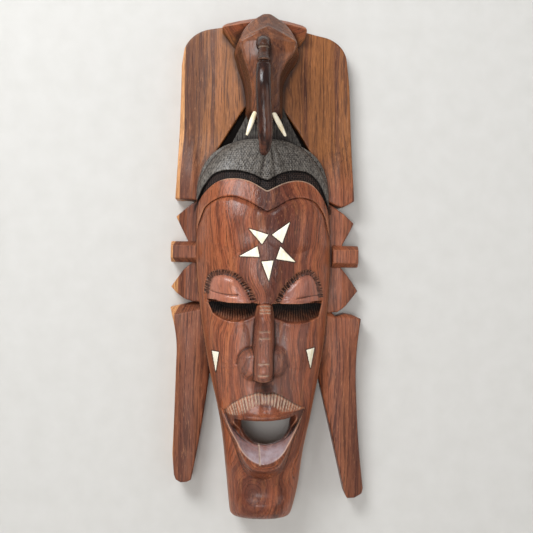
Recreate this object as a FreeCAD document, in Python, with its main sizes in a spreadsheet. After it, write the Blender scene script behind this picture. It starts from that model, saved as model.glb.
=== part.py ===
import FreeCAD, Part

# Carved hardwood wall mask with an elephant crest: one carved block with bone inlays, two tusks
# and a folding ring hanger on its back.  Millimetres; +Z is up, +X is the viewer's right and the
# face looks along -Y.  While it is drawn, heights are counted from the middle of the mask, and
# the back of the block lies in the plane Y = 0.  Every finished sub-part is then lowered so that
# the origin is the point where a wall hook carries the ring.

import math
import os

import Sketcher
from FreeCAD import Placement, Rotation, Vector

DRIVING_SIZES = {
    # carved face
    "temple_half_width": 84.0,
    "face_depth": 86.0,
    "face_side_depth": 38.0,
    "face_foot": 305.0,
    "wood_wall": 14.0,
    "band_relief": 4.0,
    # hair
    "cap_half_width": 81.0,
    "cap_rise": 72.0,
    "cap_depth": 66.0,
    "cap_base": 85.0,
    # crest: the elephant's ears, head and trunk
    "ear_reach_left": 113.5,
    "ear_reach_right": 110.6,
    "ear_peak": 297.0,
    "ear_foot": 82.0,
    "ear_board": 28.0,
    "crest_peak": 308.0,
    "collar_depth": 58.0,
    "elephant_depth": 100.0,
    "trunk_radius": 8.8,
    "trunk_reach": 126.0,
    "trunk_foot": 131.0,
    # side combs and ear pendants
    "comb_reach_left": 117.0,
    "comb_reach_right": 118.4,
    "comb_board": 27.0,
    "pendant_reach_left": 117.5,
    "pendant_reach_right": 130.4,
    "pendant_foot_left": 271.0,
    "pendant_foot_right": 289.0,
    "pendant_board": 28.0,
    # nose, eyes and mouth
    "nose_width": 24.0,
    "nose_reach": 106.0,
    "lid_rise": 15.0,
    "slot_top": 45.0,
    "slot_depth": 19.0,
    "mouth_top": 183.0,
    "mouth_drop": 29.0,
    "mouth_half_width": 36.0,
    # inlays and tusks
    "inlay_board": 3.0,
    "inlay_proud": 0.4,
    "glue_gap": 0.15,
    "tusk_length": 34.0,
    "tusk_radius": 3.0,
    "tusk_tip_radius": 1.3,
    "peg_length": 10.0,
    "peg_radius": 2.0,
    # ring hanger
    "recess_depth": 8.0,
    "recess_half_width": 14.0,
    "bar_height": 178.0,
    "wire_radius": 1.25,
    "ring_half_width": 8.75,
    "ring_side": 6.0,
    "running_gap": 0.08,
    "strap_width": 11.0,
    "strap_length": 46.0,
    "strap_board": 2.0,
    "screw_radius": 1.9,
    "screw_length": 16.0,
    "screw_head_radius": 3.5,
    "screw_head_rise": 2.0,
}

document = FreeCAD.newDocument("carved_wall_mask")
sheet = document.addObject("Spreadsheet::Sheet", "Sizes")
for row, (alias, length) in enumerate(DRIVING_SIZES.items(), start=1):
    sheet.set(f"A{row}", alias)
    sheet.set(f"B{row}", str(length))
    sheet.setAlias(f"B{row}", alias)
document.recompute()


class Size:
    """A length with the formula that gives it, so that one value places geometry and binds it."""

    def __init__(self, value, formula):
        self.value = value
        self.formula = formula

    def __add__(self, other):
        other = as_size(other)
        return Size(self.value + other.value, f"({self.formula} + {other.formula})")

    def __sub__(self, other):
        other = as_size(other)
        return Size(self.value - other.value, f"({self.formula} - {other.formula})")

    def __mul__(self, factor):
        factor = as_size(factor)
        return Size(self.value * factor.value, f"({self.formula} * {factor.formula})")

    def __neg__(self):
        return Size(-self.value, f"(0 - {self.formula})")

    def __radd__(self, other):
        return as_size(other) + self

    def __rsub__(self, other):
        return as_size(other) - self


def as_size(number):
    if isinstance(number, Size):
        return number
    return Size(float(number), f"({float(number)})")


def size(alias):
    return Size(float(sheet.get(alias)), f"Sizes.{alias}")


def bind(item, prop, length):
    """Ties one property of an object to a length's formula."""
    length = as_size(length)
    item.setExpression(prop, length.formula)


# ---------------------------------------------------------------- sketches and simple solids


def new_body(name):
    return document.addObject("PartDesign::Body", name)


def new_sketch(body, name, role, lift=0.0):
    """A sketch on one of the body's own origin planes, lifted along that plane's normal.

    On XZ_Plane the sketch's axes are X and Z and its normal is -Y, towards the viewer."""
    sketch = body.newObject("Sketcher::SketchObject", name)
    plane = next(item for item in body.Origin.OriginFeatures if item.Role == role)
    sketch.AttachmentSupport = [(plane, "")]
    sketch.MapMode = "FlatFace"
    lift = as_size(lift)
    sketch.AttachmentOffset = Placement(Vector(0, 0, lift.value), Rotation())
    bind(sketch, "AttachmentOffset.Base.z", lift)
    return sketch


def pin(sketch, geometry, vertex, point):
    """Holds one vertex of a sketch at bound distances from the sketch's origin."""
    for kind, length in (("DistanceX", point[0]), ("DistanceY", point[1])):
        length = as_size(length)
        index = sketch.addConstraint(Sketcher.Constraint(kind, -1, 1, geometry, vertex, length.value))
        sketch.setExpression(f"Constraints[{index}]", length.formula)


def via(x, y):
    """Marks a point that an arc of an outline passes through, between its two end points."""
    return (x, y, "via")


def flat(point):
    return Vector(as_size(point[0]).value, as_size(point[1]).value, 0)


def turns_left(start, middle, end):
    first = flat(middle) - flat(start)
    second = flat(end) - flat(middle)
    return first.x * second.y - first.y * second.x > 0


def draw_run(sketch, start, middle, end):
    """One line, or one arc through the middle point, drawn anticlockwise as sketches keep them.

    Returns the edge and the numbers of its first and last vertices along the outline."""
    if middle is None:
        edge = sketch.addGeometry(Part.LineSegment(flat(start), flat(end)), False)
        return edge, 1, 2
    ends = (start, end) if turns_left(start, middle, end) else (end, start)
    edge = sketch.addGeometry(Part.Arc(flat(ends[0]), flat(middle), flat(ends[1])), False)
    marker = sketch.addGeometry(Part.Point(flat(middle)), True)
    pin(sketch, marker, 1, middle)
    sketch.addConstraint(Sketcher.Constraint("PointOnObject", marker, 1, edge))
    return (edge, 1, 2) if ends[0] is start else (edge, 2, 1)


def draw_outline(sketch, points, closed=True):
    """An outline through the points; a via point turns the run around it into an arc."""
    corners = [number for number, point in enumerate(points) if len(point) == 2]
    pairs = list(zip(corners, corners[1:] + corners[:1]))
    if not closed:
        pairs.pop()
    runs = []
    for here, following in pairs:
        between = (here + 1) % len(points)
        middle = None if between == following else points[between]
        edge, first, last = draw_run(sketch, points[here], middle, points[following])
        pin(sketch, edge, first, points[here])
        runs.append((edge, first, last))
    for (edge, first, last), (next_edge, next_first, next_last) in zip(runs, runs[1:]):
        sketch.addConstraint(Sketcher.Constraint("Coincident", edge, last, next_edge, next_first))
    if closed:
        end_run, start_run = runs[-1], runs[0]
        sketch.addConstraint(
            Sketcher.Constraint("Coincident", end_run[0], end_run[2], start_run[0], start_run[1])
        )
    else:
        pin(sketch, runs[-1][0], runs[-1][2], points[-1])


def pad_outline(name, points, near, far):
    """A board with the given front outline, from depth `near` to depth `far` towards the viewer."""
    body = new_body(name)
    sketch = new_sketch(body, f"{name}_outline", "XZ_Plane", near)
    draw_outline(sketch, points)
    pad = body.newObject("PartDesign::Pad", f"{name}_pad")
    pad.Profile = sketch
    pad.Length = (as_size(far) - near).value
    bind(pad, "Length", as_size(far) - near)
    return body


def section_loft(name, sections):
    """A loft of flat-backed sections; each is (height, centre, half width, side depth, depth)."""
    body = new_body(name)
    sketches = []
    for number, (height, centre, half_width, side, depth) in enumerate(sections):
        sketch = new_sketch(body, f"{name}_section_{number}", "XY_Plane", height)
        left = as_size(centre) - half_width
        right = as_size(centre) + half_width
        outline = [(left, 0.0), (left, -as_size(side)), via(centre, -as_size(depth))]
        outline += [(right, -as_size(side)), (right, 0.0)]
        draw_outline(sketch, outline)
        sketches.append(sketch)
    loft = body.newObject("PartDesign::AdditiveLoft", f"{name}_loft")
    loft.Profile = sketches[0]
    loft.Sections = sketches[1:]
    return body


def dome(name, centre, radii):
    """An ellipsoid with half axes along X, Y and Z."""
    item = document.addObject("Part::Ellipsoid", name)
    for prop, radius in zip(("Radius2", "Radius3", "Radius1"), radii):
        bind(item, prop, radius)
    item.Angle1 = -90
    item.Angle2 = 90
    item.Placement = Placement(Vector(*[as_size(place).value for place in centre]), Rotation())
    return item


def block(name, low, high):
    """A box between two corners."""
    item = document.addObject("Part::Box", name)
    for prop, low_side, high_side in zip(("Length", "Width", "Height"), low, high):
        bind(item, prop, as_size(high_side) - low_side)
    item.Placement = Placement(Vector(*[as_size(place).value for place in low]), Rotation())
    return item


def rod(name, radius, length, placement):
    item = document.addObject("Part::Cylinder", name)
    bind(item, "Radius", radius)
    bind(item, "Height", length)
    item.Placement = placement
    return item


def join(name, pieces):
    item = document.addObject("Part::MultiFuse", name)
    item.Shapes = pieces
    item.Refine = False
    return item


# ---------------------------------------------------------------- the carved block


# (height, centre, share of the temple width, share of the face depth)
FACE_SECTIONS = (
    (-285.0, 1.0, 0.50, 0.84),
    (-240.0, 3.0, 0.575, 0.84),
    (-190.0, 3.5, 0.67, 0.92),
    (-135.0, 2.0, 0.81, 0.93),
    (-60.0, 0.0, 0.95, 0.93),
    (0.0, -1.5, 1.0, 1.0),
    (60.0, -3.5, 0.985, 0.98),
)


def face_form(name, grow):
    """The plain face: a tapering half barrel from the chin to under the hair."""
    width = size("temple_half_width")
    depth = size("face_depth")
    side = size("face_side_depth")
    sections = [(-size("face_foot"), 0.0, width * 0.455 + grow, side * 0.9, depth * 0.76 + grow)]
    for height, centre, width_share, depth_share in FACE_SECTIONS:
        half_width = width * width_share + grow
        sections.append((height, centre, half_width, side, depth * depth_share + grow))
    sections.append((112.0, -4.0, width * 0.90 + grow, side * 0.9, depth * 0.86 + grow))
    return section_loft(name, sections)


BAND_TOP = [(-86.0, 80.0), via(-42.0, 106.0), (-1.0, 91.0), via(36.0, 104.5), (76.0, 78.0)]


def common(name, form, region):
    """The part of a form that lies inside a region."""
    item = document.addObject("Part::Common", name)
    item.Base = form
    item.Tool = region
    return item


def face():
    """The face form, ending above in the double arch where the hair begins."""
    front = size("face_depth") + 40.0
    below = [(95.0, 78.0), (95.0, -310.0), (-95.0, -310.0), (-95.0, 80.0)]
    region = pad_outline("face_region", BAND_TOP + below, 0.0, front)
    return common("face", face_form("face_barrel", 0.0), region)


def brow_band():
    """The raised double-arched band between the hair and the forehead, following the face."""
    below = [(76.0, 50.0), via(41.0, 82.5), (0.0, 65.5), via(-42.0, 83.5), (-86.0, 56.0)]
    region = pad_outline("band_region", BAND_TOP + below, 0.0, size("face_depth") + 40.0)
    return common("brow_band", face_form("band_barrel", size("band_relief")), region)


def hair_cap():
    centre = (-4.0, 0.0, size("cap_base"))
    whole = dome("hair_ball", centre, (size("cap_half_width"), size("cap_depth"), size("cap_rise")))
    return front_half("hair_cap", whole)


def front_half(name, item):
    """Keeps what lies in front of the wall plane."""
    room = block(f"{name}_room", (-200.0, -200.0, -400.0), (200.0, 0.0, 400.0))
    return common(name, item, room)


def left_ear():
    reach = size("ear_reach_left")
    peak = size("ear_peak")
    foot = size("ear_foot")
    outline = [(0.0, peak - 10.0), (-59.0, peak), (-73.0, peak - 1.5)]
    outline += [via(5.0 - reach + 14.0, peak - 10.0), (6.0 - reach, peak - 30.0)]
    outline += [(4.0 - reach, peak - 60.0), (-reach, foot), (-80.0, foot), (-40.0, 110.0), (0.0, 140.0)]
    return pad_outline("left_ear", outline, 0.0, size("ear_board"))


def right_ear():
    reach = size("ear_reach_right")
    peak = size("ear_peak")
    foot = size("ear_foot")
    outline = [(0.0, peak - 10.0), (0.0, 140.0), (40.0, 110.0), (79.0, foot)]
    outline += [(93.0, foot - 6.0), (reach, foot + 1.0), (reach - 7.0, peak - 65.0)]
    outline += [(reach - 11.0, peak - 38.0), via(88.0, peak - 16.0), (69.0, peak - 7.0)]
    outline += [(46.5, peak - 4.0)]
    return pad_outline("right_ear", outline, 0.0, size("ear_board"))


def elephant_collar():
    """The winged crown behind the elephant's brow, level with the tops of its ears."""
    peak = size("crest_peak")
    outline = [(-58.5, peak - 15.5), (-37.0, peak - 6.0), (-5.0, peak), (24.0, peak - 5.5)]
    outline += [(44.5, peak - 14.5), (44.5, peak - 22.0), (28.0, peak - 46.0)]
    outline += [(-36.0, peak - 46.0), (-58.5, peak - 23.0)]
    return pad_outline("elephant_collar", outline, 0.0, size("collar_depth"))


def elephant_head():
    deep = size("elephant_depth")
    sections = [
        (180.0, -4.5, 19.0, deep - 29.0, deep - 14.0),
        (205.0, -4.5, 20.0, deep - 24.0, deep - 8.0),
        (230.0, -4.5, 25.5, deep - 22.0, deep - 3.0),
        (255.0, -3.5, 36.5, deep - 28.0, deep),
        (274.0, -3.5, 30.0, deep - 44.0, deep - 20.0),
        (288.0, -3.5, 24.0, deep - 62.0, deep - 44.0),
    ]
    return section_loft("elephant_head", sections)


def throat():
    """Solid wood between the elephant's throat and the hair."""
    return block("throat", (-24.0, -44.0, 130.0), (16.0, 0.0, 190.0))


TRUNK_CENTRE = -7.8


def trunk():
    """The trunk: out of the brow, over a round shoulder and straight down in front of the hair."""
    body = new_body("trunk")
    reach = size("trunk_reach")
    foot = size("trunk_foot")
    shoulder = 24.0
    top = 250.0
    path = new_sketch(body, "trunk_path", "YZ_Plane", TRUNK_CENTRE)
    sweep = shoulder * (1 - math.sqrt(0.5))
    points = [(-70.0, top), (-(reach - shoulder), top), via(-(reach - sweep), top - sweep)]
    points += [(-reach, top - shoulder), (6.0 - reach, foot + 6.0)]
    draw_outline(path, points, closed=False)
    ring = new_sketch(body, "trunk_ring", "XZ_Plane", 70.0)
    circle = ring.addGeometry(Part.Circle(Vector(TRUNK_CENTRE, top, 0), Vector(0, 0, 1), 8.8), False)
    pin(ring, circle, 3, (TRUNK_CENTRE, top))
    index = ring.addConstraint(Sketcher.Constraint("Radius", circle, size("trunk_radius").value))
    ring.setExpression(f"Constraints[{index}]", size("trunk_radius").formula)
    pipe = body.newObject("PartDesign::AdditivePipe", "trunk_pipe")
    pipe.Profile = ring
    pipe.Spine = path
    tip_centre = (TRUNK_CENTRE, 6.0 - reach, foot + 8.0)
    end = dome("trunk_tip", tip_centre, (size("trunk_radius"), size("trunk_radius"), 8.0))
    return [body, end]


def left_comb():
    """Two spikes with a square block between them, at the left temple."""
    reach = size("comb_reach_left")
    outline = [(-66.0, 84.0), (-85.0, 82.0), (5.0 - reach, 60.5), (-91.5, 22.0), (-109.0, 29.5)]
    outline += [(-reach, 29.0), (-reach, 4.0), (-100.0, -2.0), (-reach, -27.4), (-100.0, -41.5)]
    outline += [(-66.0, -46.0)]
    return pad_outline("left_comb", outline, 0.0, size("comb_board"))


def right_comb():
    reach = size("comb_reach_right")
    outline = [(66.0, 80.0), (66.0, -56.0), (92.0, -55.0), (reach, -29.0), (101.5, -3.0)]
    outline += [(reach - 2.0, 0.0), (reach - 2.0, 26.6), (99.5, 27.5), (95.0, 26.0)]
    outline += [(reach - 7.0, 56.0), (80.0, 80.0)]
    return pad_outline("right_comb", outline, 0.0, size("comb_board"))


def left_pendant():
    """The long ear pendant that hangs from the left temple beside the jaw."""
    reach = size("pendant_reach_left")
    foot = size("pendant_foot_left")
    outline = [(-reach, -53.0), (-58.0, -40.0), (-58.0, -120.0), (-67.0, -138.0)]
    outline += [via(-75.5, -203.0), (-87.5, 4.0 - foot), (-100.0, -foot), (10.0 - reach, 4.0 - foot)]
    outline += [via(7.0 - reach, -230.0), (8.5 - reach, -150.0), via(9.0 - reach, -100.0)]
    return pad_outline("left_pendant", outline, 0.0, size("pendant_board"))


def right_pendant():
    reach = size("pendant_reach_right")
    foot = size("pendant_foot_right")
    outline = [(reach - 8.6, -63.5), via(reach - 13.0, -115.0), (reach - 11.5, -165.0)]
    outline += [via(reach - 6.0, -233.0), (reach, 8.0 - foot), (reach - 12.0, -foot), (106.0, 5.0 - foot)]
    outline += [via(89.0, -213.0), (70.2, -138.0), (60.0, -120.0), (60.0, -50.0), (101.0, -57.0)]
    return pad_outline("right_pendant", outline, 0.0, size("pendant_board"))


def nose():
    """The long straight nose, drawn from the side and widened to both sides of its ridge."""
    reach = size("nose_reach")
    body = new_body("nose")
    sketch = new_sketch(body, "nose_profile", "YZ_Plane", -1.0)
    points = [(-60.0, -28.0), (16.0 - reach, -32.0), (12.0 - reach, -46.0), (2.0 - reach, -112.0)]
    points += [(-reach, -128.0), (9.0 - reach, -138.0), (-60.0, -138.0)]
    draw_outline(sketch, points)
    pad = body.newObject("PartDesign::Pad", "nose_pad")
    pad.Profile = sketch
    pad.SideType = "Symmetric"
    bind(pad, "Length", size("nose_width"))
    left_wing = dome("left_nostril_wing", (-21.0, -78.0, -115.0), (10.0, 12.0, 15.0))
    right_wing = dome("right_nostril_wing", (19.5, -78.0, -112.0), (9.0, 12.0, 15.0))
    return [body, left_wing, right_wing]


def eyelids():
    rise = size("lid_rise")
    left = dome("left_lid", (-42.0, -66.0, -29.0), (29.0, rise + 1.0, rise))
    right = dome("right_lid", (41.0, -66.0, -30.0), (28.0, rise + 1.0, rise))
    return [left, right]


def muzzle():
    """The round swelling that carries the moustache and both lips."""
    whole = dome("muzzle_ball", (0.5, -38.0, -204.0), (52.0, 58.0, 42.0))
    return front_half("muzzle", whole)


def hollow():
    """The carved-out back, a wall's thickness inside the face form."""
    wall = size("wood_wall")
    width = size("temple_half_width")
    depth = size("face_depth")
    side = size("face_side_depth") - 6.0
    sections = [(-268.0, 1.5, width * 0.50 - wall, side * 0.6, depth * 0.50)]
    for height, centre, width_share, depth_share in FACE_SECTIONS[1:]:
        half_width = width * width_share - wall
        sections.append((height, centre, half_width, side, depth * depth_share - wall))
    sections.append((100.0, -4.0, width * 0.86 - wall, side * 0.9, depth * 0.78 - wall))
    sections.append((122.0, -4.0, width * 0.62 - wall, side * 0.6, depth * 0.50))
    return section_loft("hollow", sections)


def eye_slots():
    """Both eye openings, straight through to the hollow under the lids."""
    top = -size("slot_top")
    low = top - size("slot_depth")
    front = size("nose_reach")
    left = [(-69.0, top), via(-42.0, low), (-14.5, top - 13.0), (-14.5, top)]
    right = [(12.5, top), (12.5, top - 15.0), via(44.0, low - 2.0), (67.5, top)]
    return [
        pad_outline("left_eye_slot", left, 20.0, front),
        pad_outline("right_eye_slot", right, 20.0, front),
    ]


def mouth_opening():
    top = -size("mouth_top")
    half_width = size("mouth_half_width")
    outline = [(3.0 - half_width, top), via(3.0, top - size("mouth_drop")), (3.0 + half_width, top)]
    return pad_outline("mouth_opening", outline, 15.0, size("nose_reach") + 10.0)


# ---------------------------------------------------------------- inlays


def forehead_seat(x, z):
    """The placement on the face's front at (x, z): its local -Y is the outward direction there."""
    heights = [row[0] for row in FACE_SECTIONS]
    upper = next(number for number, height in enumerate(heights) if height >= z)
    low_row = FACE_SECTIONS[upper - 1]
    high_row = FACE_SECTIONS[upper]
    share = (z - low_row[0]) / (high_row[0] - low_row[0])
    centre, width_share, depth_share = (
        low_row[field] + share * (high_row[field] - low_row[field]) for field in (1, 2, 3)
    )
    half_width = size("temple_half_width").value * width_share
    depth = size("face_depth").value * depth_share
    bulge = depth - size("face_side_depth").value
    radius = (half_width**2 + bulge**2) / (2 * bulge)
    turn = math.degrees(math.asin((x - centre) / radius))
    front = depth - radius + radius * math.cos(math.radians(turn))
    return Placement(Vector(x, -front, z), Rotation(Vector(0, 0, 1), turn))


# Corners of each piece about its own middle, and the middle's place on the face.
STAR_INLAYS = {
    "star_inlay_upper_left": ((-8.0, 36.0), ((-13.3, 8.1), (9.5, 1.6), (2.4, -9.8))),
    "star_inlay_upper_right": ((17.0, 39.4), ((9.8, 13.3), (1.2, -11.4), (-11.0, -1.9))),
    "star_inlay_left": ((-17.0, 15.5), ((-14.8, -3.8), (6.1, 8.0), (8.7, -4.4))),
    "star_inlay_right": ((21.0, 12.9), ((13.6, -7.0), (-9.3, -3.8), (-4.6, 10.8))),
    "star_inlay_lower": ((2.0, -1.4), ((1.3, -15.8), (-7.6, 7.0), (6.2, 8.6))),
}
CHEEK_INLAYS = {
    "cheek_inlay_left": ((-58.9, -112.3), ((-4.3, 8.7), (4.2, 8.2), (0.8, -16.9))),
    "cheek_inlay_right": ((56.0, -106.0), ((-5.2, 6.7), (5.0, 8.6), (0.9, -16.4))),
}


def inlay_board(name, corners, gap):
    """A flat triangle that sinks below the seat and, as a piece, stands a little proud of it."""
    board = size("inlay_board")
    rim = 1.0 + gap / 6.0
    outline = [(x * rim, z * rim) for x, z in corners]
    sink = board - size("inlay_proud") + gap
    top = size("inlay_proud") if gap == 0.0 else as_size(8.0)
    return pad_outline(name, outline, -sink, top)


def make_inlay(name, middle, corners):
    """The inlay itself and the pocket that it is glued into."""
    seat = forehead_seat(*middle)
    piece = inlay_board(name, corners, 0.0)
    pocket = inlay_board(f"{name}_pocket", corners, size("glue_gap").value)
    piece.Placement = seat
    pocket.Placement = seat
    return piece, pocket


# ---------------------------------------------------------------- tusks


# Each tusk's root on the elephant's cheek, and the direction it points in.
TUSKS = {
    "tusk_left": (Vector(-16.0, -80.0, 185.5), Vector(-10.0, -9.0, -31.0)),
    "tusk_right": (Vector(5.0, -80.0, 184.0), Vector(16.5, -9.0, -33.0)),
}


def turned_tusk(name, place, gap):
    """A spindle with a peg at its root, turned about its own axis and grown by a gap all round."""
    length = size("tusk_length")
    peg = size("peg_length") + gap
    shoulder = size("peg_radius") + gap
    radius = size("tusk_radius") + gap
    tip = size("tusk_tip_radius") + gap
    body = new_body(name)
    sketch = new_sketch(body, f"{name}_profile", "XZ_Plane")
    outline = [(0.0, -peg), (shoulder, -peg), (shoulder, 0.0), via(radius, length * 0.4)]
    outline += [(tip, length), (0.0, length)]
    draw_outline(sketch, outline)
    turned = body.newObject("PartDesign::Revolution", f"{name}_turned")
    turned.Profile = sketch
    turned.ReferenceAxis = (sketch, ["V_Axis"])
    turned.Angle = 360
    body.Placement = place
    return body


def make_tusk(name, root, direction):
    """A tusk and the socket that its peg and root are glued into."""
    place = Placement(root, Rotation(Vector(0, 0, 1), direction))
    tusk = turned_tusk(name, place, as_size(0.0))
    socket = turned_tusk(f"{name}_socket", place, size("glue_gap") * 0.5)
    return tusk, socket


# ---------------------------------------------------------------- ring hanger


SCREW_HEIGHTS = (8.5, 33.0)  # each screw's distance below the ring's bar
SCREW_NAMES = ("hanger_screw_upper", "hanger_screw_lower")


def ring_plane_depth():
    """The ring's wire lies this far in front of the wall plane."""
    loop_radius = size("wire_radius") + size("running_gap") + size("strap_board") * 0.5
    return size("recess_depth") - loop_radius


def hanger_recess():
    """A shallow channel in the back, from the hollow up past the ring."""
    half = size("recess_half_width")
    top = size("bar_height") + size("ring_half_width") + size("ring_side") + 8.0
    return block("hanger_recess", (-half, -size("recess_depth"), 100.0), (half, 30.0, top))


def hanger_ring():
    """The D-shaped wire ring: a straight bar below, two sides and a round top."""
    bar = size("bar_height")
    half = size("ring_half_width")
    wire = size("wire_radius")
    corner = 3.0
    body = new_body("hanger_ring")
    path = new_sketch(body, "ring_path", "XZ_Plane", ring_plane_depth())
    sweep = corner * (1 - math.sqrt(0.5))
    top = bar + size("ring_side")
    points = [
        (corner - half, bar),
        (half - corner, bar),
        via(half - sweep, bar + sweep),
        (half, bar + corner),
        (half, top),
        via(0.0, top + half),
        (-half, top),
        (-half, bar + corner),
        via(sweep - half, bar + sweep),
    ]
    draw_outline(path, points)
    section = new_sketch(body, "ring_section", "YZ_Plane")
    centre = (-ring_plane_depth(), bar)
    circle = section.addGeometry(Part.Circle(flat(centre), Vector(0, 0, 1), wire.value), False)
    pin(section, circle, 3, centre)
    index = section.addConstraint(Sketcher.Constraint("Radius", circle, wire.value))
    section.setExpression(f"Constraints[{index}]", wire.formula)
    pipe = body.newObject("PartDesign::AdditivePipe", "ring_pipe")
    pipe.Profile = section
    pipe.Spine = path
    return body


def hanger_strap():
    """Folded sheet strap: two layers pressed flat, with a loop round the ring's bar."""
    bar = size("bar_height")
    floor = -size("recess_depth")
    face = floor + size("strap_board")
    hole = size("wire_radius") + size("running_gap")
    loop = hole + size("strap_board") * 0.5
    axis = floor + loop
    foot = bar - size("strap_length")
    body = new_body("hanger_strap")
    sketch = new_sketch(body, "strap_profile", "YZ_Plane")
    outline = [(floor, foot), (face, foot), (face, bar - 5.0), (axis + loop, bar - 1.0)]
    outline += [(axis + loop, bar), via(axis, bar + loop), (floor, bar)]
    draw_outline(sketch, outline)
    circle = sketch.addGeometry(Part.Circle(flat((axis, bar)), Vector(0, 0, 1), hole.value), False)
    pin(sketch, circle, 3, (axis, bar))
    index = sketch.addConstraint(Sketcher.Constraint("Radius", circle, hole.value))
    sketch.setExpression(f"Constraints[{index}]", hole.formula)
    pad = body.newObject("PartDesign::Pad", "strap_pad")
    pad.Profile = sketch
    pad.SideType = "Symmetric"
    bind(pad, "Length", size("strap_width"))
    drilled = new_sketch(body, "strap_holes", "XZ_Plane", size("recess_depth") + 1.0)
    for height in SCREW_HEIGHTS:
        place = (0.0, bar - height)
        hole_edge = drilled.addGeometry(Part.Circle(flat(place), Vector(0, 0, 1), 2.1), False)
        pin(drilled, hole_edge, 3, place)
        clear = size("screw_radius") + 0.2
        index = drilled.addConstraint(Sketcher.Constraint("Radius", hole_edge, clear.value))
        drilled.setExpression(f"Constraints[{index}]", clear.formula)
    pocket = body.newObject("PartDesign::Pocket", "strap_drilled")
    pocket.Profile = drilled
    bind(pocket, "Length", size("strap_board") + 4.0)
    return body


def make_screw(name, drop):
    """A round-headed wood screw through the strap, and its pilot hole in the wood."""
    face = size("recess_depth") - size("strap_board")
    radius = size("screw_radius")
    head = size("screw_head_radius")
    rise = size("screw_head_rise")
    length = size("screw_length")
    body = new_body(name)
    sketch = new_sketch(body, f"{name}_profile", "XZ_Plane")
    outline = [(0.0, rise), (head * 0.45, rise), via(head * 0.86, rise * 0.78), (head, rise * 0.3)]
    outline += [(head, 0.0), (radius, 0.0), (radius, 4.0 - length), (0.4, -length), (0.0, -length)]
    draw_outline(sketch, outline)
    turned = body.newObject("PartDesign::Revolution", f"{name}_turned")
    turned.Profile = sketch
    turned.ReferenceAxis = (sketch, ["V_Axis"])
    turned.Angle = 360
    outward = Rotation(Vector(0, 0, 1), Vector(0, 1, 0))
    seat = Vector(0, -face.value, (size("bar_height") - drop).value)
    body.Placement = Placement(seat, outward)
    end = Placement(seat, Rotation(Vector(0, 0, 1), Vector(0, -1, 0)))
    pilot = rod(f"{name}_pilot", radius + 0.05, length + 0.3, end)
    return body, pilot


# ---------------------------------------------------------------- assembly


def carve_block(pockets):
    """Joins the carved forms, then cuts the hollow, the openings and every pocket out of them."""
    forms = [face(), brow_band(), hair_cap(), left_ear(), right_ear()]
    forms += [elephant_collar(), elephant_head(), throat(), *trunk(), left_comb(), right_comb()]
    forms += [left_pendant(), right_pendant(), *nose(), *eyelids(), muzzle()]
    blank = join("uncarved_block", forms)
    cuts = join("cuts", [hollow(), *eye_slots(), mouth_opening(), hanger_recess(), *pockets])
    carved = document.addObject("Part::Cut", "carved_body")
    carved.Base = blank
    carved.Tool = cuts
    return carved


def build_parts():
    parts = []
    pockets = []
    for name, (middle, corners) in {**STAR_INLAYS, **CHEEK_INLAYS}.items():
        piece, pocket = make_inlay(name, middle, corners)
        parts.append(piece)
        pockets.append(pocket)
    for name, (root, direction) in TUSKS.items():
        tusk, socket = make_tusk(name, root, direction)
        parts.append(tusk)
        pockets.append(socket)
    for name, drop in zip(SCREW_NAMES, SCREW_HEIGHTS):
        screw, pilot = make_screw(name, drop)
        parts.append(screw)
        pockets.append(pilot)
    parts += [hanger_ring(), hanger_strap()]
    parts.insert(0, carve_block(pockets))
    return parts


def hang_height():
    """Where a hook carries the ring: the inside of its round top."""
    bar = size("bar_height") + size("ring_side")
    return (bar + size("ring_half_width") - size("wire_radius")).value


def check_document():
    for item in document.Objects:
        if "Invalid" in item.State or "Error" in item.State:
            raise RuntimeError(f"{item.Name} failed: {item.State}")


def lower_to_origin(part):
    """Moves a finished sub-part down so that the hanging point is the origin."""
    drop = Placement(Vector(0, 0, -hang_height()), Rotation())
    part.Placement = drop.multiply(part.Placement)


def write_parts(parts):
    os.makedirs("parts", exist_ok=True)
    for part in parts:
        shape = part.Shape
        if shape.isNull() or not shape.isValid():
            raise RuntimeError(f"{part.Label} has no valid shape")
        box = shape.BoundBox
        print(
            f"{part.Label}: {len(shape.Solids)} solid, {shape.Volume / 1000:.2f} cm3, "
            f"x {box.XMin:.1f} {box.XMax:.1f}, y {box.YMin:.1f} {box.YMax:.1f}, "
            f"z {box.ZMin:.1f} {box.ZMax:.1f}"
        )
        shape.exportStep(f"parts/{part.Label}.step")


def main():
    parts = build_parts()
    document.recompute()
    check_document()
    for part in parts:
        part.Label = part.Name
        lower_to_origin(part)
    document.recompute()
    check_document()
    write_parts(parts)


main()
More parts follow.
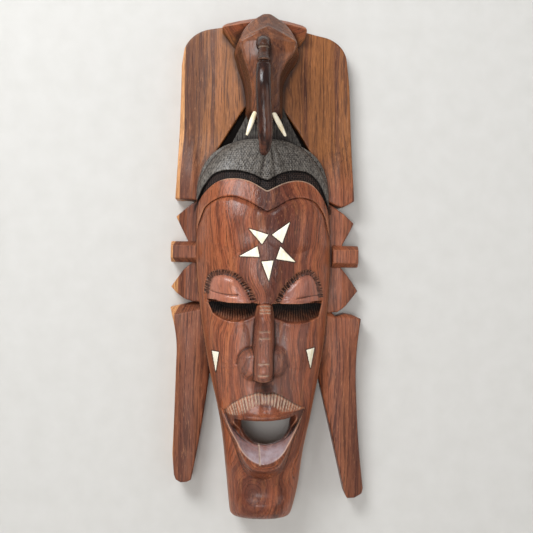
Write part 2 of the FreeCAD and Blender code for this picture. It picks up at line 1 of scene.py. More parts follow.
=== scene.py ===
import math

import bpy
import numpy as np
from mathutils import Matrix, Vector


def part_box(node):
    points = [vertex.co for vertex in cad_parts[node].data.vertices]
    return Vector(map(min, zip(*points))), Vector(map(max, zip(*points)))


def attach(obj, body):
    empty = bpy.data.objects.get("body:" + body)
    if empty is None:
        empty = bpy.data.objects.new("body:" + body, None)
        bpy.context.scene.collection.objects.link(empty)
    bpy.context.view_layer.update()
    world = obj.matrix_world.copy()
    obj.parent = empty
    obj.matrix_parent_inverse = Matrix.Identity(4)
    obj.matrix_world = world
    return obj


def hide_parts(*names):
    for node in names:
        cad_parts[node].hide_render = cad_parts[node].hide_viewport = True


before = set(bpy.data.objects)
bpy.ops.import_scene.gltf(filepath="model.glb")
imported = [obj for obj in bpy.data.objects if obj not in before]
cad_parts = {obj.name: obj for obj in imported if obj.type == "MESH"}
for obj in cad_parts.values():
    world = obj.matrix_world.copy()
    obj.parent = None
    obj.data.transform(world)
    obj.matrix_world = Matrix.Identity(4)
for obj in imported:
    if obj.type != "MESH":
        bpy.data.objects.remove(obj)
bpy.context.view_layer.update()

# Carved hardwood wall mask with an elephant crest.
#
# The wood is sculpted as a distance field: each carved form is a board or a dome with its own
# front outline and its own height map, the forms are joined and cut like clay, and the zero
# surface becomes one mesh.  Inside the sculpting code lengths are millimetres: x to the viewer's
# right, z up from the mask's middle, and t the depth towards the viewer from the wall.

import openvdb
from mathutils import Euler, Vector

MM = 0.001
PEAK = 308.0  # height of the crest's top above the middle of the mask
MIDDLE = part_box("carved_body")[1].z - PEAK * MM  # frame height of the mask's middle, metres
STEP = 0.9  # spacing of the sculpting grid
FAR = 6.0  # distances are only kept this far from the surface


def to_frame(x, t, z):
    """Sculpting millimetres to the CAD frame's metres."""
    return Vector((x * MM, -t * MM, z * MM + MIDDLE))


# ---- curves, outlines and blends


def spline(at, knots):
    """A smooth curve through (place, value) knots, with each slope set by the neighbours."""
    places = np.array([knot[0] for knot in knots], float)
    values = np.array([knot[1] for knot in knots], float)
    slopes = np.gradient(values, places)
    at = np.clip(at, places[0], places[-1])
    index = np.clip(np.searchsorted(places, at) - 1, 0, len(places) - 2)
    width = places[index + 1] - places[index]
    share = (at - places[index]) / width
    rise = values[index + 1] - values[index]
    start = slopes[index] * width
    end = slopes[index + 1] * width
    ease = share * share * (3 - 2 * share)
    lean_start = share * (1 - share) ** 2
    lean_end = share * share * (share - 1)
    return values[index] + ease * rise + lean_start * start + lean_end * end


def via(x, z):
    """Marks a point that an arc of an outline passes through."""
    return (x, z, "via")


def arc_points(start, middle, end):
    """Points along the circular arc through three points, without its end."""
    ax, az, bx, bz, cx, cz = *start, *middle, *end
    turn = 2 * (ax * (bz - cz) + bx * (cz - az) + cx * (az - bz))
    if abs(turn) < 1e-6:
        return [start]
    a2, b2, c2 = ax * ax + az * az, bx * bx + bz * bz, cx * cx + cz * cz
    ox = (a2 * (bz - cz) + b2 * (cz - az) + c2 * (az - bz)) / turn
    oz = (a2 * (cx - bx) + b2 * (ax - cx) + c2 * (bx - ax)) / turn
    radius = math.hypot(ax - ox, az - oz)
    angles = [math.atan2(z - oz, x - ox) for x, z in (start, middle, end)]
    sign = -1 if turn < 0 else 1
    sweep = (angles[2] - angles[0]) * sign % (2 * math.pi)
    steps = max(3, int(radius * sweep / 4))
    turns = [angles[0] + sign * sweep * number / steps for number in range(steps)]
    return [(ox + radius * math.cos(angle), oz + radius * math.sin(angle)) for angle in turns]


def outline(*points):
    """A closed outline as corner points; a via point turns the run around it into an arc."""
    corners = []
    for number, point in enumerate(points):
        if len(point) == 3:
            continue
        following = points[(number + 1) % len(points)]
        if len(following) == 3:
            corners += arc_points(point, following[:2], points[(number + 2) % len(points)][:2])
        else:
            corners.append(point)
    return corners


def smooth_line(*points):
    """Points close together along a smooth open line through the given ones."""
    places = np.arange(len(points), dtype=float)
    fine = np.linspace(0, len(points) - 1, 6 * len(points))
    x = spline(fine, list(zip(places, [point[0] for point in points])))
    z = spline(fine, list(zip(places, [point[1] for point in points])))
    return list(zip(x, z))


def beyond(corners, x, z):
    """Distance of (x, z) beyond a closed outline, negative inside it."""
    nearest = np.full(np.broadcast(x, z).shape, 1e9, np.float32)
    inside = np.zeros(nearest.shape, bool)
    for (ax, az), (bx, bz) in zip(corners, corners[1:] + corners[:1]):
        ex, ez = bx - ax, bz - az
        along = np.clip(((x - ax) * ex + (z - az) * ez) / (ex * ex + ez * ez + 1e-9), 0, 1)
        nearest = np.minimum(nearest, (x - ax - along * ex) ** 2 + (z - az - along * ez) ** 2)
        if az != bz:
            inside ^= ((az > z) != (bz > z)) & (x < ex * (z - az) / ez + ax)
    return np.where(inside, -1, 1) * np.sqrt(nearest)


def distance_along(line, x, z):
    """Distance to an open line, and how far along it the nearest point is."""
    nearest = np.full(np.broadcast(x, z).shape, 1e9, np.float32)
    travelled = np.zeros(nearest.shape, np.float32)
    before = 0.0
    for (ax, az), (bx, bz) in zip(line, line[1:]):
        ex, ez = bx - ax, bz - az
        length = math.hypot(ex, ez)
        along = np.clip(((x - ax) * ex + (z - az) * ez) / (length * length + 1e-9), 0, 1)
        apart = (x - ax - along * ex) ** 2 + (z - az - along * ez) ** 2
        closer = apart < nearest
        nearest = np.where(closer, apart, nearest)
        travelled = np.where(closer, before + along * length, travelled)
        before += length
    return np.sqrt(nearest), travelled


def above(knots, x, z):
    """Distance of (x, z) above a curve z(x), measured square to the curve."""
    slope = spline(x + 0.5, knots) - spline(x - 0.5, knots)
    return (z - spline(x, knots)) / np.sqrt(1 + slope * slope)


def ease(low, high, value):
    """0 below low, 1 above high, smooth between; low may be the larger."""
    share = np.clip((value - low) / (high - low), 0, 1)
    return share * share * (3 - 2 * share)


def lower(a, b, blend):
    """The smaller of two fields, rounded where they cross."""
    if blend <= 0:
        return np.minimum(a, b)
    share = np.clip(0.5 + 0.5 * (b - a) / blend, 0, 1)
    return b + (a - b) * share - blend * share * (1 - share)


def upper(a, b, blend):
    return -lower(-a, -b, blend)


def positive(value):
    return np.clip(value, 0, None)


def bell(away, width):
    """1 where away is 0, falling off smoothly on both sides."""
    return np.exp(-((away / width) ** 2))


def waves(value, pitch):
    return np.cos(value * 2 * math.pi / pitch)


def oval(x, z, centre_x, centre_z, radius_x, radius_z):
    """0 at the centre of an ellipse and 1 on its rim, growing with the square of the distance."""
    return ((x - centre_x) / radius_x) ** 2 + ((z - centre_z) / radius_z) ** 2


def ball(x, z, *ellipse):
    """A dome's height share over an ellipse: 1 in the middle and 0 from the rim outwards."""
    return np.sqrt(np.clip(1 - oval(x, z, *ellipse), 0, 1))


def ripple(x, z, size, seed):
    """A slow, even unevenness, such as a gouge leaves, between -1 and 1."""
    rng = np.random.default_rng(seed)
    total = 0
    for _ in range(6):
        angle = rng.uniform(0, math.pi)
        phase = rng.uniform(0, 2 * math.pi)
        pitch = size * rng.uniform(0.7, 1.5)
        total = total + np.sin((x * math.cos(angle) + z * math.sin(angle)) * 2 * math.pi / pitch + phase)
    return total / 6


# ---- clay


class Clay:
    """A block of distances on a regular grid: negative inside the wood, positive outside."""

    def __init__(self, low, high):
        self.axes = [np.arange(a, b + STEP, STEP, dtype=np.float32) for a, b in zip(low, high)]
        self.field = np.full([len(axis) for axis in self.axes], FAR, np.float32)

    def window(self, low, high):
        spans = []
        for axis, a, b in zip(self.axes, low, high):
            first, last = np.searchsorted(axis, (a, b))
            spans.append(slice(max(first - 1, 0), last + 1))
        x, t, z = (axis[span] for axis, span in zip(self.axes, spans))
        return tuple(spans), x[:, None, None], t[None, :, None], z[None, None, :]

    def add(self, low, high, form, blend=0.6):
        """Joins a form on: form(x, t, z) is its distance field."""
        spans, x, t, z = self.window(low, high)
        self.field[spans] = lower(self.field[spans], np.clip(form(x, t, z), -FAR, FAR), blend)

    def carve(self, low, high, form, blend=0.6):
        """Cuts a form away."""
        spans, x, t, z = self.window(low, high)
        self.field[spans] = upper(self.field[spans], -np.clip(form(x, t, z), -FAR, FAR), blend)


def board(corners, height, rounding=2.0):
    """A form with the given front outline and height map, and rounded front edges."""

    def form(x, t, z):
        return upper(t - height(x, z), beyond(corners, x, z), rounding)

    return form


# ---- the face's own shape

FACE_DEPTH = (
    (-306, 64), (-298, 72), (-288, 75), (-276, 71), (-258, 72), (-240, 76), (-215, 80), (-190, 81),
    (-165, 80), (-140, 79), (-110, 79), (-75, 77), (-50, 77), (-30, 80), (-5, 85), (25, 88), (55, 85),
    (80, 80), (106, 72), (125, 62))
FACE_WIDTH = (
    (-306, 38), (-275, 43.5), (-250, 46.7), (-227, 49.5), (-190, 56), (-165, 61), (-135, 67.5), (-90, 75),
    (-50, 79.5), (0, 83), (60, 82), (106, 77), (125, 72))
FACE_CENTRE = (
    (-306, 0), (-275, 2), (-230, 2.5), (-185, 3.5), (-135, 2), (-90, 1), (-50, -0.5), (0, -2), (60, -3.5),
    (106, -4), (125, -4))
FACE_SIDE = 30.0  # depth of the face's sides
CHIN = -306.8  # height of the chin's lower edge

BAND_LOW = (
    (-90, 30), (-80, 58), (-76, 68), (-70, 74.5), (-62, 79.5), (-50, 82.7), (-40, 82.8), (-30, 80),
    (-20, 76), (-10, 70.2), (-3, 66.6), (0, 65.3), (3, 66.4), (9, 69.5), (18.5, 75.5), (28, 80.5),
    (40, 82.8), (52, 81.3), (60, 77.5), (66.5, 70), (72, 60.5), (78, 40))
BAND_HIGH = (
    (-90, 62), (-84, 77), (-77, 87.5), (-70, 94.5), (-62, 100.5), (-52, 104.3), (-40, 105.3),
    (-30, 104.3), (-20, 101.3), (-10, 96), (-3, 91.8), (0, 90.8), (3, 92), (9, 95.2), (18.5, 100),
    (29, 103.3), (40, 104.3), (50, 102.3), (58, 97.5), (65, 90), (71.5, 80.8), (78, 66))
HAIR_LOW = (
    (-90, 70), (-83, 84), (-80, 91.5), (-74, 101), (-67, 109.8), (-57, 114.5), (-45, 115.8), (-33, 115.2),
    (-23.6, 113), (-15, 109.6), (-7, 106), (0, 103.8), (9, 108.8), (18.4, 113.2), (29, 116.4),
    (41, 116.6), (51, 114.4), (59, 108.6), (65.4, 100.3), (70.4, 90.8), (76, 76))


def barrel(x, z):
    """Depth of the plain face before any feature is carved."""
    across = np.abs(x - spline(z, FACE_CENTRE)) / spline(z, FACE_WIDTH)
    round_off = np.clip(1 - across**2.4, 0, 1) ** 0.55
    return FACE_SIDE + (spline(z, FACE_DEPTH) - FACE_SIDE) * round_off


def face_side(x, z):
    return np.abs(x - spline(z, FACE_CENTRE)) - spline(z, FACE_WIDTH)


# ---- eyes and brows

BROW_LEFT = smooth_line(
    (-74, -34), (-72.5, -22), (-69, -12), (-63, -7), (-54, -5), (-45, -5.5), (-36, -8.5), (-28, -14.5),
    (-21, -23), (-15, -32), (-11, -41))
BROW_RIGHT = smooth_line(
    (11.5, -43), (14, -36.5), (19, -26.5), (25, -19), (32, -12), (40, -6), (49, -3.3), (57, -5),
    (64, -12), (68.5, -23), (71.5, -36))
LEFT_CREASE = smooth_line((-69, -29), (-60, -32), (-50, -34), (-40, -34.8), (-33, -34.5))
RIGHT_CREASE = smooth_line((37, -38), (45, -36.5), (54, -34.6), (62, -33.8), (69, -33.6))
LEFT_SLOT = outline((-73, -36), (-8, -36), (-12, -59), via(-40, -66.5), (-63, -57))
RIGHT_SLOT = outline((7, -36), (72, -36), (66, -60), via(46, -67), (11, -61))


def eye_distance(x, z):
    """Distance beyond the nearer eye opening, negative inside it."""
    return np.minimum(beyond(LEFT_SLOT, x, z), beyond(RIGHT_SLOT, x, z))


def brow_strip(brow, x, z):
    """1 on the notched strip just inside a brow's line, and the cut of its notches."""
    apart, along = distance_along(brow, x, z)
    inside = np.where(beyond(brow, x, z) < 0, apart, -apart)
    strip = ease(7.0, 5.6, inside) * ease(-1.4, 0.2, inside)
    uneven = along + 0.8 * np.sin(along * 0.83) + 0.5 * np.sin(along * 2.1) + 0.25 * inside
    cut = ease(0.25, 0.8, 0.5 + 0.5 * waves(uneven, 3.9))
    return strip, strip * cut * ease(-1.4 + np.sin(along), 0.8, inside)


def under_brow(brow, x, z):
    """Distance beyond the arch under a brow, negative inside it."""
    return beyond([(brow[0][0], -80.0), *brow, (brow[-1][0], -80.0)], x, z)


def eye_height(x, z):
    """What the brows, lids and lid creases add to the plain face."""
    change = 5.0 * ease(12, -30, z) * bell(x - 1, 26)
    for brow, crease in ((BROW_LEFT, LEFT_CREASE), (BROW_RIGHT, RIGHT_CREASE)):
        within = -under_brow(brow, x, z)
        share = np.clip((within - 5.5) / 21.0, 0, 1)
        pillow = 11.5 * np.sqrt(1 - (1 - share) ** 2) - 4.5
        change = change + np.where(within > 0, pillow + 4.5, 0) - 4.5 * ease(-0.5, 3.0, within)
        change = change + 2.6 * ease(-0.5, 2.6, within) * ease(7.0, 5.0, within)
        change = change - 1.8 * brow_strip(brow, x, z)[1]
        change = change - 2.0 * bell(distance_along(crease, x, z)[0], 0.9)
        change = change + 1.5 * ease(-35.5, -39.5, z) * ease(4, 8, within)
    return change * ease(-46.0, -44.0, z)


# ---- nose

NOSE_RIDGE = (
    (-140, 99), (-134, 104), (-126, 107), (-112, 105.5), (-95, 102.5), (-75, 98.5), (-60, 95),
    (-50, 91.5), (-45.5, 86), (-42, 78), (-28, 60))
NOSE_FLAT = ((-140, 3.5), (-132, 5.0), (-120, 6.4), (-100, 6.8), (-75, 6.6), (-50, 6.2), (-28, 5.5))
NOSE_RINGS = (-47.2, -51.2, -54.8, -76.5, -84.2, -113.5, -127.0)


def nose_height(x, z):
    """The long straight nose: a flat ridge with soft corners and steep sides, ringed by cuts."""
    offset = x + 0.8 - 0.012 * (z + 90)
    away = positive(np.abs(offset) - spline(z, NOSE_FLAT) + 2.0)
    height = spline(z, NOSE_RIDGE) - 2.9 * (np.sqrt(away * away + 14.0) - 3.74) - 0.045 * offset**2
    height = height - 1.4 * nose_cuts(x, z)
    wrinkles = 0.45 * waves(offset, 3.6) * ease(-86, -89, z) * ease(-110, -104, z)
    height = height + wrinkles * ease(6.0, 4.0, np.abs(offset))
    return height - 70 * ease(-134.5, -142.0, z) - 60 * ease(-28.0, -20.0, z)


def nose_cuts(x, z):
    """The short lines cut across the nose's ridge: 1 at the bottom of a cut."""
    away = np.abs(x + 0.8 - 0.012 * (z + 90))
    total = 0.0
    for place in NOSE_RINGS:
        total = total + bell(z - place + 0.014 * x * x, 0.7)
    return total * ease(7.2, 5.4, away)


WING_CREASE = smooth_line((-15, -97), (-21, -98), (-27, -102), (-31.5, -109), (-33, -117))


def wing(x, z, *ellipse):
    """A soft swelling: 1 in the middle, fading to 0 at its rim."""
    return ease(1.0, 0.12, oval(x, z, *ellipse))


def wings(x, z):
    """Both nostril wings; the left one's upper side is undercut by a curved crease."""
    left = 10.5 * wing(x, z, -15.5, -117, 16.5, 20.5)
    left = left - 1.5 * bell(distance_along(WING_CREASE, x, z)[0], 1.3)
    return left + 8.0 * wing(x, z, 14.0, -113, 15.0, 21.0)


# ---- mouth

STACHE_TOP = (
    (-52, -181), (-47.7, -177), (-42, -168.6), (-33, -161.3), (-23.4, -155.5), (-14, -152), (-6, -150),
    (2.4, -151.5), (9.4, -150), (19, -152.4), (28.4, -157.8), (38, -163.5), (47.5, -169), (54, -173))
LIP_LINE = (
    (-52, -177), (-44, -179.5), (-34, -180.8), (-20, -181.4), (0, -181.8), (15, -180.6), (28, -178.5),
    (38, -175), (48, -170.5), (54, -168))
LIP_INNER = outline(
    (-44, -178), (-40, -187), (-32, -198), via(-22, -207), (-10, -211.5), (2, -212), (14, -210),
    via(26, -204.5), (35, -196), (43, -185), (49, -172))
LIP_OUTER = outline(
    (-50, -174), (-46, -182), (-39, -195.5), (-30, -209), via(-20, -223), (-5, -231.5), (2, -232),
    via(18, -225.5), (29, -211.5), (38, -196), (45, -182), (50, -170))
MOUTH_BACK = outline((-26, -180), (-25, -192), via(3.5, -213.5), (31, -193), (33, -180))


def muzzle_height(x, z, plain):
    """The swelling above the upper lip that carries the moustache, and the lip's own roll."""
    below_top = -above(STACHE_TOP, x, z)
    swell = 3.5 * ease(0.0, 2.5, below_top) + 9.0 * ease(0.0, 26.0, below_top)
    roll = 3.6 * bell(above(LIP_LINE, x, z) - 3.4, 3.4) * ease(46, 30, np.abs(x - 2))
    swell = (swell + roll) * ease(56, 40, np.abs(x - 2)) * ease(-16, -4, above(LIP_LINE, x, z))
    under_nose = 7.0 * bell(z + 145, 6.5) * bell(x + 1, 9)
    return np.where(below_top > 0, plain + swell, plain) - under_nose


def stache_strokes(x, z):
    """The moustache's cut strokes, fanning out from the middle: 1 in a stroke."""
    below_top = -above(STACHE_TOP, x, z)
    across = x - 2
    fan = across * (1 - 0.010 * (z + 165))
    stroke = 0.5 + 0.5 * np.cos(fan * 2 * math.pi / 3.6 + 0.5 * np.sin(across * 0.7))
    bare = ease(1.2, 0.9, (np.abs(x - 1) / 25) ** 1.5 + (np.abs(z + 181) / 18) ** 2)
    low_end = above(LIP_LINE, x, z) - 1.5 - 6.0 * ease(45, 18, np.abs(across))
    strip = ease(-0.5, 1.0, below_top) * ease(0.0, 1.5, low_end)
    return strip * (1 - bare) * ease(52, 48, np.abs(across)) * ease(0.30, 0.75, stroke)


def crack_side(x, z):
    """Distance to the right of the drying crack in the lower lip."""
    return x + 4.0 + 0.06 * (z + 220)


def lower_lip_height(x, z):
    """The scooped lower lip: deep at its inner line, furthest forward at its outer line."""
    inner = beyond(LIP_INNER, x, z)
    outer = beyond(LIP_OUTER, x, z)
    rim = 98.0 - 0.0090 * (x - 2) ** 2 - 0.022 * positive(np.abs(x - 2) - 28) ** 2
    share = positive(inner) / (positive(inner) + positive(-outer) + 1e-3)
    crack = 1.2 * bell(crack_side(x, z), 0.7)
    scoop = (rim - 19) + 19 * share**0.9 - crack
    thick = 9.0 * ease(36, 12, np.abs(x - 2))
    steep = 1.5 + 2.2 * ease(22, 42, np.abs(x - 2))
    under = rim - 0.7 - 0.045 * np.clip(outer, 0, thick) ** 2
    under = under - steep * positive(outer - thick)
    return np.where(outer > 0, under, scoop)


# Centre and radii of the swellings of the forehead and the cheeks.
SWELLINGS = ((-38, 58, 42, 42), (30, 58, 42, 42), (-44, -90, 27, 34), (44, -90, 27, 34))


def face_height(x, z):
    """The whole front of the face, from the forehead to the chin."""
    height = barrel(x, z)
    for swelling in SWELLINGS:
        height = height + 4.0 * ball(x, z, *swelling) ** 1.5
    height = height + eye_height(x, z)
    height = muzzle_height(x, z, height + wings(x, z))
    height = height - 0.8 * stache_strokes(x, z)
    eyes = eye_distance(x, z)
    height = height + 0.5 * bell(eyes - 1.6, 1.1) * ease(-47, -50, z)
    return upper(height, nose_height(x, z), 1.5)


# Corners of each bone triangle, as seen from the front.
INLAYS = {
    "star_inlay_upper_left": ((-21.3, 44.1), (1.5, 37.6), (-5.6, 26.2)),
    "star_inlay_upper_right": ((26.8, 52.7), (18.2, 28.0), (6.0, 37.5)),
    "star_inlay_left": ((-31.8, 11.7), (-10.9, 23.5), (-8.3, 11.1)),
    "star_inlay_right": ((34.6, 5.9), (11.7, 9.1), (16.4, 23.7)),
    "star_inlay_lower": ((3.3, -17.2), (-5.6, 5.6), (8.2, 7.2)),
    "cheek_inlay_left": ((-63.2, -103.6), (-54.7, -104.1), (-58.1, -129.2)),
    "cheek_inlay_right": ((50.8, -99.3), (61.0, -97.4), (56.9, -122.4)),
}


# ---- sculpting


def face_plate(x, t, z):
    """Forehead and face below the brow band, with a soft edge along the band."""
    solid = upper(t - face_height(x, z), face_side(x, z), 3.0)
    solid = upper(solid, above(BAND_LOW, x, z) - 0.2, 7.5)
    return upper(solid, CHIN - z, 6.0)


def core(x, t, z):
    """The wood at the bottom of the black fringe groove and of the line under the band."""
    hatch = 0.5 * waves(x, 2.6)
    floor = np.minimum(barrel(x, z) - 5.0, hair_height(x, z) - 4.0)
    floor = np.where(z > 60, floor, barrel(x, z) - 5.0) - hatch
    floor = np.where(above(BAND_LOW, x, z) < 8, barrel(x, z) - 2.4, floor)
    solid = upper(t - floor, face_side(x, z), 2.0)
    solid = np.maximum(solid, -60.0 - z)
    return np.maximum(solid, above(HAIR_LOW, x, z) - 4.0)


def band(x, t, z):
    solid = upper(t - (barrel(x, z) + 1.8), face_side(x, z) - 0.5, 3.0)
    solid = upper(solid, above(BAND_HIGH, x, z), 1.4)
    return upper(solid, 0.2 - above(BAND_LOW, x, z), 1.2)


def cap_outline(x, z):
    across = np.abs(x + 4) / 81.5
    up = positive(z - 82) / 75.5
    return ((across**2.6 + up**2.6) ** (1 / 2.6) - 1) * 76


def chips(x, z):
    """Small staggered chisel dents over the hair: 1 at the bottom of a dent."""
    tall, wide = 2.6, 3.4
    row = np.floor(z / tall)
    shifted = x / wide + 0.5 * (row % 2)
    along = np.abs(shifted - np.floor(shifted) - 0.5) * 2
    across = np.abs(z / tall - row - 0.5) * 2
    return np.clip(1 - along**2 - across**2, 0, 1)


def braids(x, z):
    """The raised braids that fan out below the trunk's tip, as a share of their height."""
    across = np.abs(x - 1) / (5.0 + (157 - z) * 0.42)
    strands = np.abs(np.cos(across * 1.5 * math.pi)) ** 0.7
    return strands * ease(1.05, 0.85, across) * ease(152, 140, z)


def hair_height(x, z):
    height = 36 + 31 * ball(x, z, -4, 72, 84, 90)
    cut = 0.35 + 0.65 * ease(-58, -18, x)
    return height + 4.2 * braids(x, z) - 1.5 * cut * chips(x, z)


def hair_cap(x, t, z):
    solid = upper(t - hair_height(x, z), cap_outline(x, z), 3.0)
    return upper(solid, -above(HAIR_LOW, x, z), 1.2)


COLUMN = outline((-13, 214), (-44, 152), (-40, 115), (40, 115), (42, 152), (9, 214))
NAPE = outline((-72, 84), (-72, 126), (-22, 214), (16, 214), (66, 126), (72, 84))


def column_height(x, z):
    return 36 + 0.02 * (150 - z) + 0.5 * waves(x, 3.2)


def nape_height(x, z):
    return 14 + 0 * (x + z)


LEFT_EAR = outline(
    (-22, 290), (-59, 297.3), (-72, 296), via(-94, 287.3), (-105.5, 272), (-108.7, 250), via(-109.2, 195),
    (-113.3, 82), (-86, 81), (-84, 100), (-74, 126), (-67, 136), (-46.6, 169.4), (-34.7, 188),
    (-22.7, 204.3), (-16, 216))
RIGHT_EAR = outline(
    (12, 290), (46.8, 293), (57, 291), (69.3, 289.2), via(88, 280.8), (99, 260), (102.8, 228),
    via(104.8, 190), (107.5, 130), (110.6, 83.6), (100, 77.5), (93, 75.6), (86, 78), (78, 82), (73, 101),
    (69, 117), (62, 132), (53.5, 144.5), (39.5, 167.4), (26.9, 184.3), (15.5, 200), (10, 212))


def ear_height(x, z):
    """The ear boards: thin at the rim, thicker inwards, flaring to a blunt ridge at the foot."""
    inward = 10 * ease(88, 30, np.abs(x))
    flare = ease(172, 96, z)
    ridge = 11 - 0.22 * np.abs(np.abs(x) - 92)
    return 23 + inward + flare * ridge + 0.35 * ripple(x, z * 0.3, 22, 3)


CROWN = outline(
    (-58.5, 291.5), via(-55, 297), (-48, 299.6), (-36.9, 302.4), (-22, 304.8), (-10, 307), (-4, PEAK),
    (2, 306.5), (11.6, 304.8), (24, 302.8), (36, 299.5), via(43.5, 296), (45.8, 290), (44.6, 284),
    (38, 274), (30, 262), (-36, 262), (-46, 275))


def crown_height(x, z):
    """The winged crown: a thin facet slopes back above its edge, a broad one falls away below."""
    away = np.abs(x + 5)
    edge = 299.5 - 0.09 * away - 0.0012 * away * away
    front = 57 - 0.10 * away
    return front - 1.7 * positive(z - edge) - 0.85 * positive(edge - z)


HEAD_CENTRE = (
    (180, -4.4), (205, -4.8), (228, -6.2), (240, -5.4), (252, -3.0), (268, -2.8), (300, -4.0))
HEAD_WIDTH = (
    (176, 14.5), (186, 16.5), (206, 16.3), (228, 18.9), (240, 24), (252, 30.3), (260, 33.6), (268, 34.0),
    (278, 31), (288, 26), (296, 19), (303, 10), (308, 3))
HEAD_FRONT = ((176, 80), (186, 86), (206, 92), (230, 97), (250, 99), (264, 97), (290, 92))


def head_height(x, z):
    """The elephant's face, with a brow ridge like a wide roof and the crown sloping back."""
    away = np.abs(x + 3)
    ridge = 284.5 - 0.53 * away
    ridge_depth = 83 + 0.36 * away
    below = np.minimum(ridge_depth + 0.75 * (ridge - z), spline(z, HEAD_FRONT))
    over = ridge_depth - 1.05 * (z - ridge)
    height = np.where(z > ridge, over, below) + 1.6 * bell(z - ridge, 2.2)
    height = height - 0.010 * (x - spline(z, HEAD_CENTRE)) ** 2
    for centre, lean in ((-34.5, 0.16), (29.5, -0.16)):
        bend = centre - lean * (z - 252)
        eye = bell(x - bend, 1.2) * ease(242, 245, z) * ease(266, 262, z)
        height = height - 2.2 * eye
    return height


def elephant_head(x, t, z):
    height = head_height(x, z)
    spread = spline(z, HEAD_WIDTH) + 0.12 * positive(height - t)
    side = np.abs(x - spline(z, HEAD_CENTRE)) - spread
    return upper(upper(t - height, side, 3.0), 182.0 - z, 3.0)


TRUNK_ENDS = (128.0, 271.0)
TRUNK_X = ((128, -6.2), (141, -5.0), (161, -5.8), (190, -7.8), (213, -8.7), (236, -8.4), (270, -8.8))
TRUNK_T = (
    (128, 113), (140, 117), (160, 121), (190, 124.5), (212, 124.5), (226, 120), (236, 115), (244, 110),
    (252, 105), (262, 99), (270, 92))
TRUNK_WIDE = (
    (128, 2.5), (130.5, 4.8), (134, 6.2), (141, 7.2), (150, 8.3), (161, 8.7), (190, 8.8), (213, 8.8),
    (228, 8.6), (232.5, 8.0), (234.6, 6.0), (236.5, 7.8), (240, 7.4), (246, 6.3), (251, 6.3),
    (253.2, 5.6), (255.5, 7.4), (259, 7.8), (265, 7.1), (269, 5.0), (271.5, 1.0))
TRUNK_DEEP = (
    (128, 2.5), (131, 5.2), (135, 6.4), (141, 7.4), (150, 8.2), (161, 8.6), (190, 8.9), (213, 9.2),
    (228, 9.6), (232.5, 9.2), (234.6, 7.2), (236.5, 11.4), (240, 11.0), (246, 9.2), (251, 9.4),
    (253.2, 8.8), (255.5, 12.2), (259, 12.8), (265, 11.9), (269, 8.0), (271.5, 3.0))


def trunk(x, t, z):
    """The hanging trunk, with two swollen rings where it leaves the brow."""
    wide = spline(z, TRUNK_WIDE)
    deep = spline(z, TRUNK_DEEP)
    reach = np.sqrt(((x - spline(z, TRUNK_X)) / wide) ** 2 + ((t - spline(z, TRUNK_T)) / deep) ** 2)
    ends = np.maximum(TRUNK_ENDS[0] - z, z - TRUNK_ENDS[1])
    return upper((reach - 1) * np.minimum(wide, deep), ends, 1.0)


LEFT_COMB = outline(
    (-66, 84), (-85, 82), (-95, 74.3), (-112, 60.5), (-102, 41), (-91.5, 21.5), (-91, 3), (-102, -6.5),
    (-117, -27.5), (-109, -35.5), (-100, -41.8), (-88, -45.5), (-66, -46))
RIGHT_COMB = outline(
    (66, 80), (80, 80), (99, 66.5), (111.6, 56), (105.5, 44), (95, 26), (91, 5), (102, -7.5),
    (111, -18.6), (118.4, -29), (110, -39), (101.5, -48.8), (92, -55.5), (66, -58))


def comb_height(x, z):
    """Each comb is a prism with its blunt ridge towards the viewer."""
    away = np.abs(x) - 98
    return 29 - 0.55 * positive(away) - 0.12 * positive(-away)


def temple_block(left, right, low, high):
    """The square peg between two spikes, bevelled above and below."""

    def form(x, t, z):
        middle = (low + high) / 2
        away = np.abs(z - middle) - (high - low) / 2
        front = 37 - 1.4 * positive(away + 5.5) - 0.04 * np.abs(x - (left + right) / 2)
        side = np.maximum(left - x, x - right)
        return upper(upper(t - front, side, 1.2), away, 1.0)

    return form


LEFT_PENDANT = outline(
    (-117.6, -53), via(-109.5, -86), (-108.4, -120), via(-109.4, -180), (-111, -236), (-108.5, -262),
    (-106, -268), (-100, -270.8), (-92, -270), (-87, -267.5), via(-75.2, -200), (-67.1, -137),
    (-58, -110), (-58, -41), (-79.8, -43.8))
RIGHT_PENDANT = outline(
    (90.5, -61), (101.7, -57.4), (112, -59), (121.8, -63.5), via(117.6, -112), (118.6, -160),
    via(124.2, -232), (130.2, -279), (128.4, -285.3), (118.7, -289), (108.5, -288.6), (105.7, -283.5),
    via(88.6, -213), (70.2, -138), (60, -112), (60, -46), (80, -52))


def left_pendant_height(x, z):
    lean = 0.012 * (x + 92) ** 2
    top = 12 + 1.15 * positive(-42.5 - z) - 0.25 * positive(-x - 79)
    return np.minimum(31 - lean * ease(-60, -120, z), top + 4)


def right_pendant_height(x, z):
    lean = 0.012 * (x - 97) ** 2
    top = 14 + 1.05 * positive(-50 - z) + 0.3 * positive(88 - x)
    return np.minimum(31 - lean * ease(-70, -130, z), top + 4)


def hollow(x, t, z):
    """The gouged-out back, which leaves thick wood behind the eye pockets."""
    wall, foot, top = 13.0, -268.0, 112.0
    eyes = eye_distance(x, z)
    roof = barrel(x, z) - wall + 1.0 * ripple(x * 1.6, z * 0.8, 24, 11)
    roof = roof - 22.0 * ease(9.0, -1.0, eyes) * ease(-30, -40, z) - 16.0 * ease(70, 92, z)
    side = face_side(x, z) + wall
    ends = np.maximum(foot - z, z - top)
    return upper(upper(t - roof, side, 8.0), ends, 14.0)


def lashes(corners, x, z):
    """The fine radial lines cut in an eye pocket, between -1 and 1."""
    middle = (corners[0][0] + corners[1][0]) / 2
    fan = (x - middle) * (1 + 0.011 * (z + 62))
    return waves(fan, 3.1) * ease(0.5, 2.5, -beyond(corners, x, z))


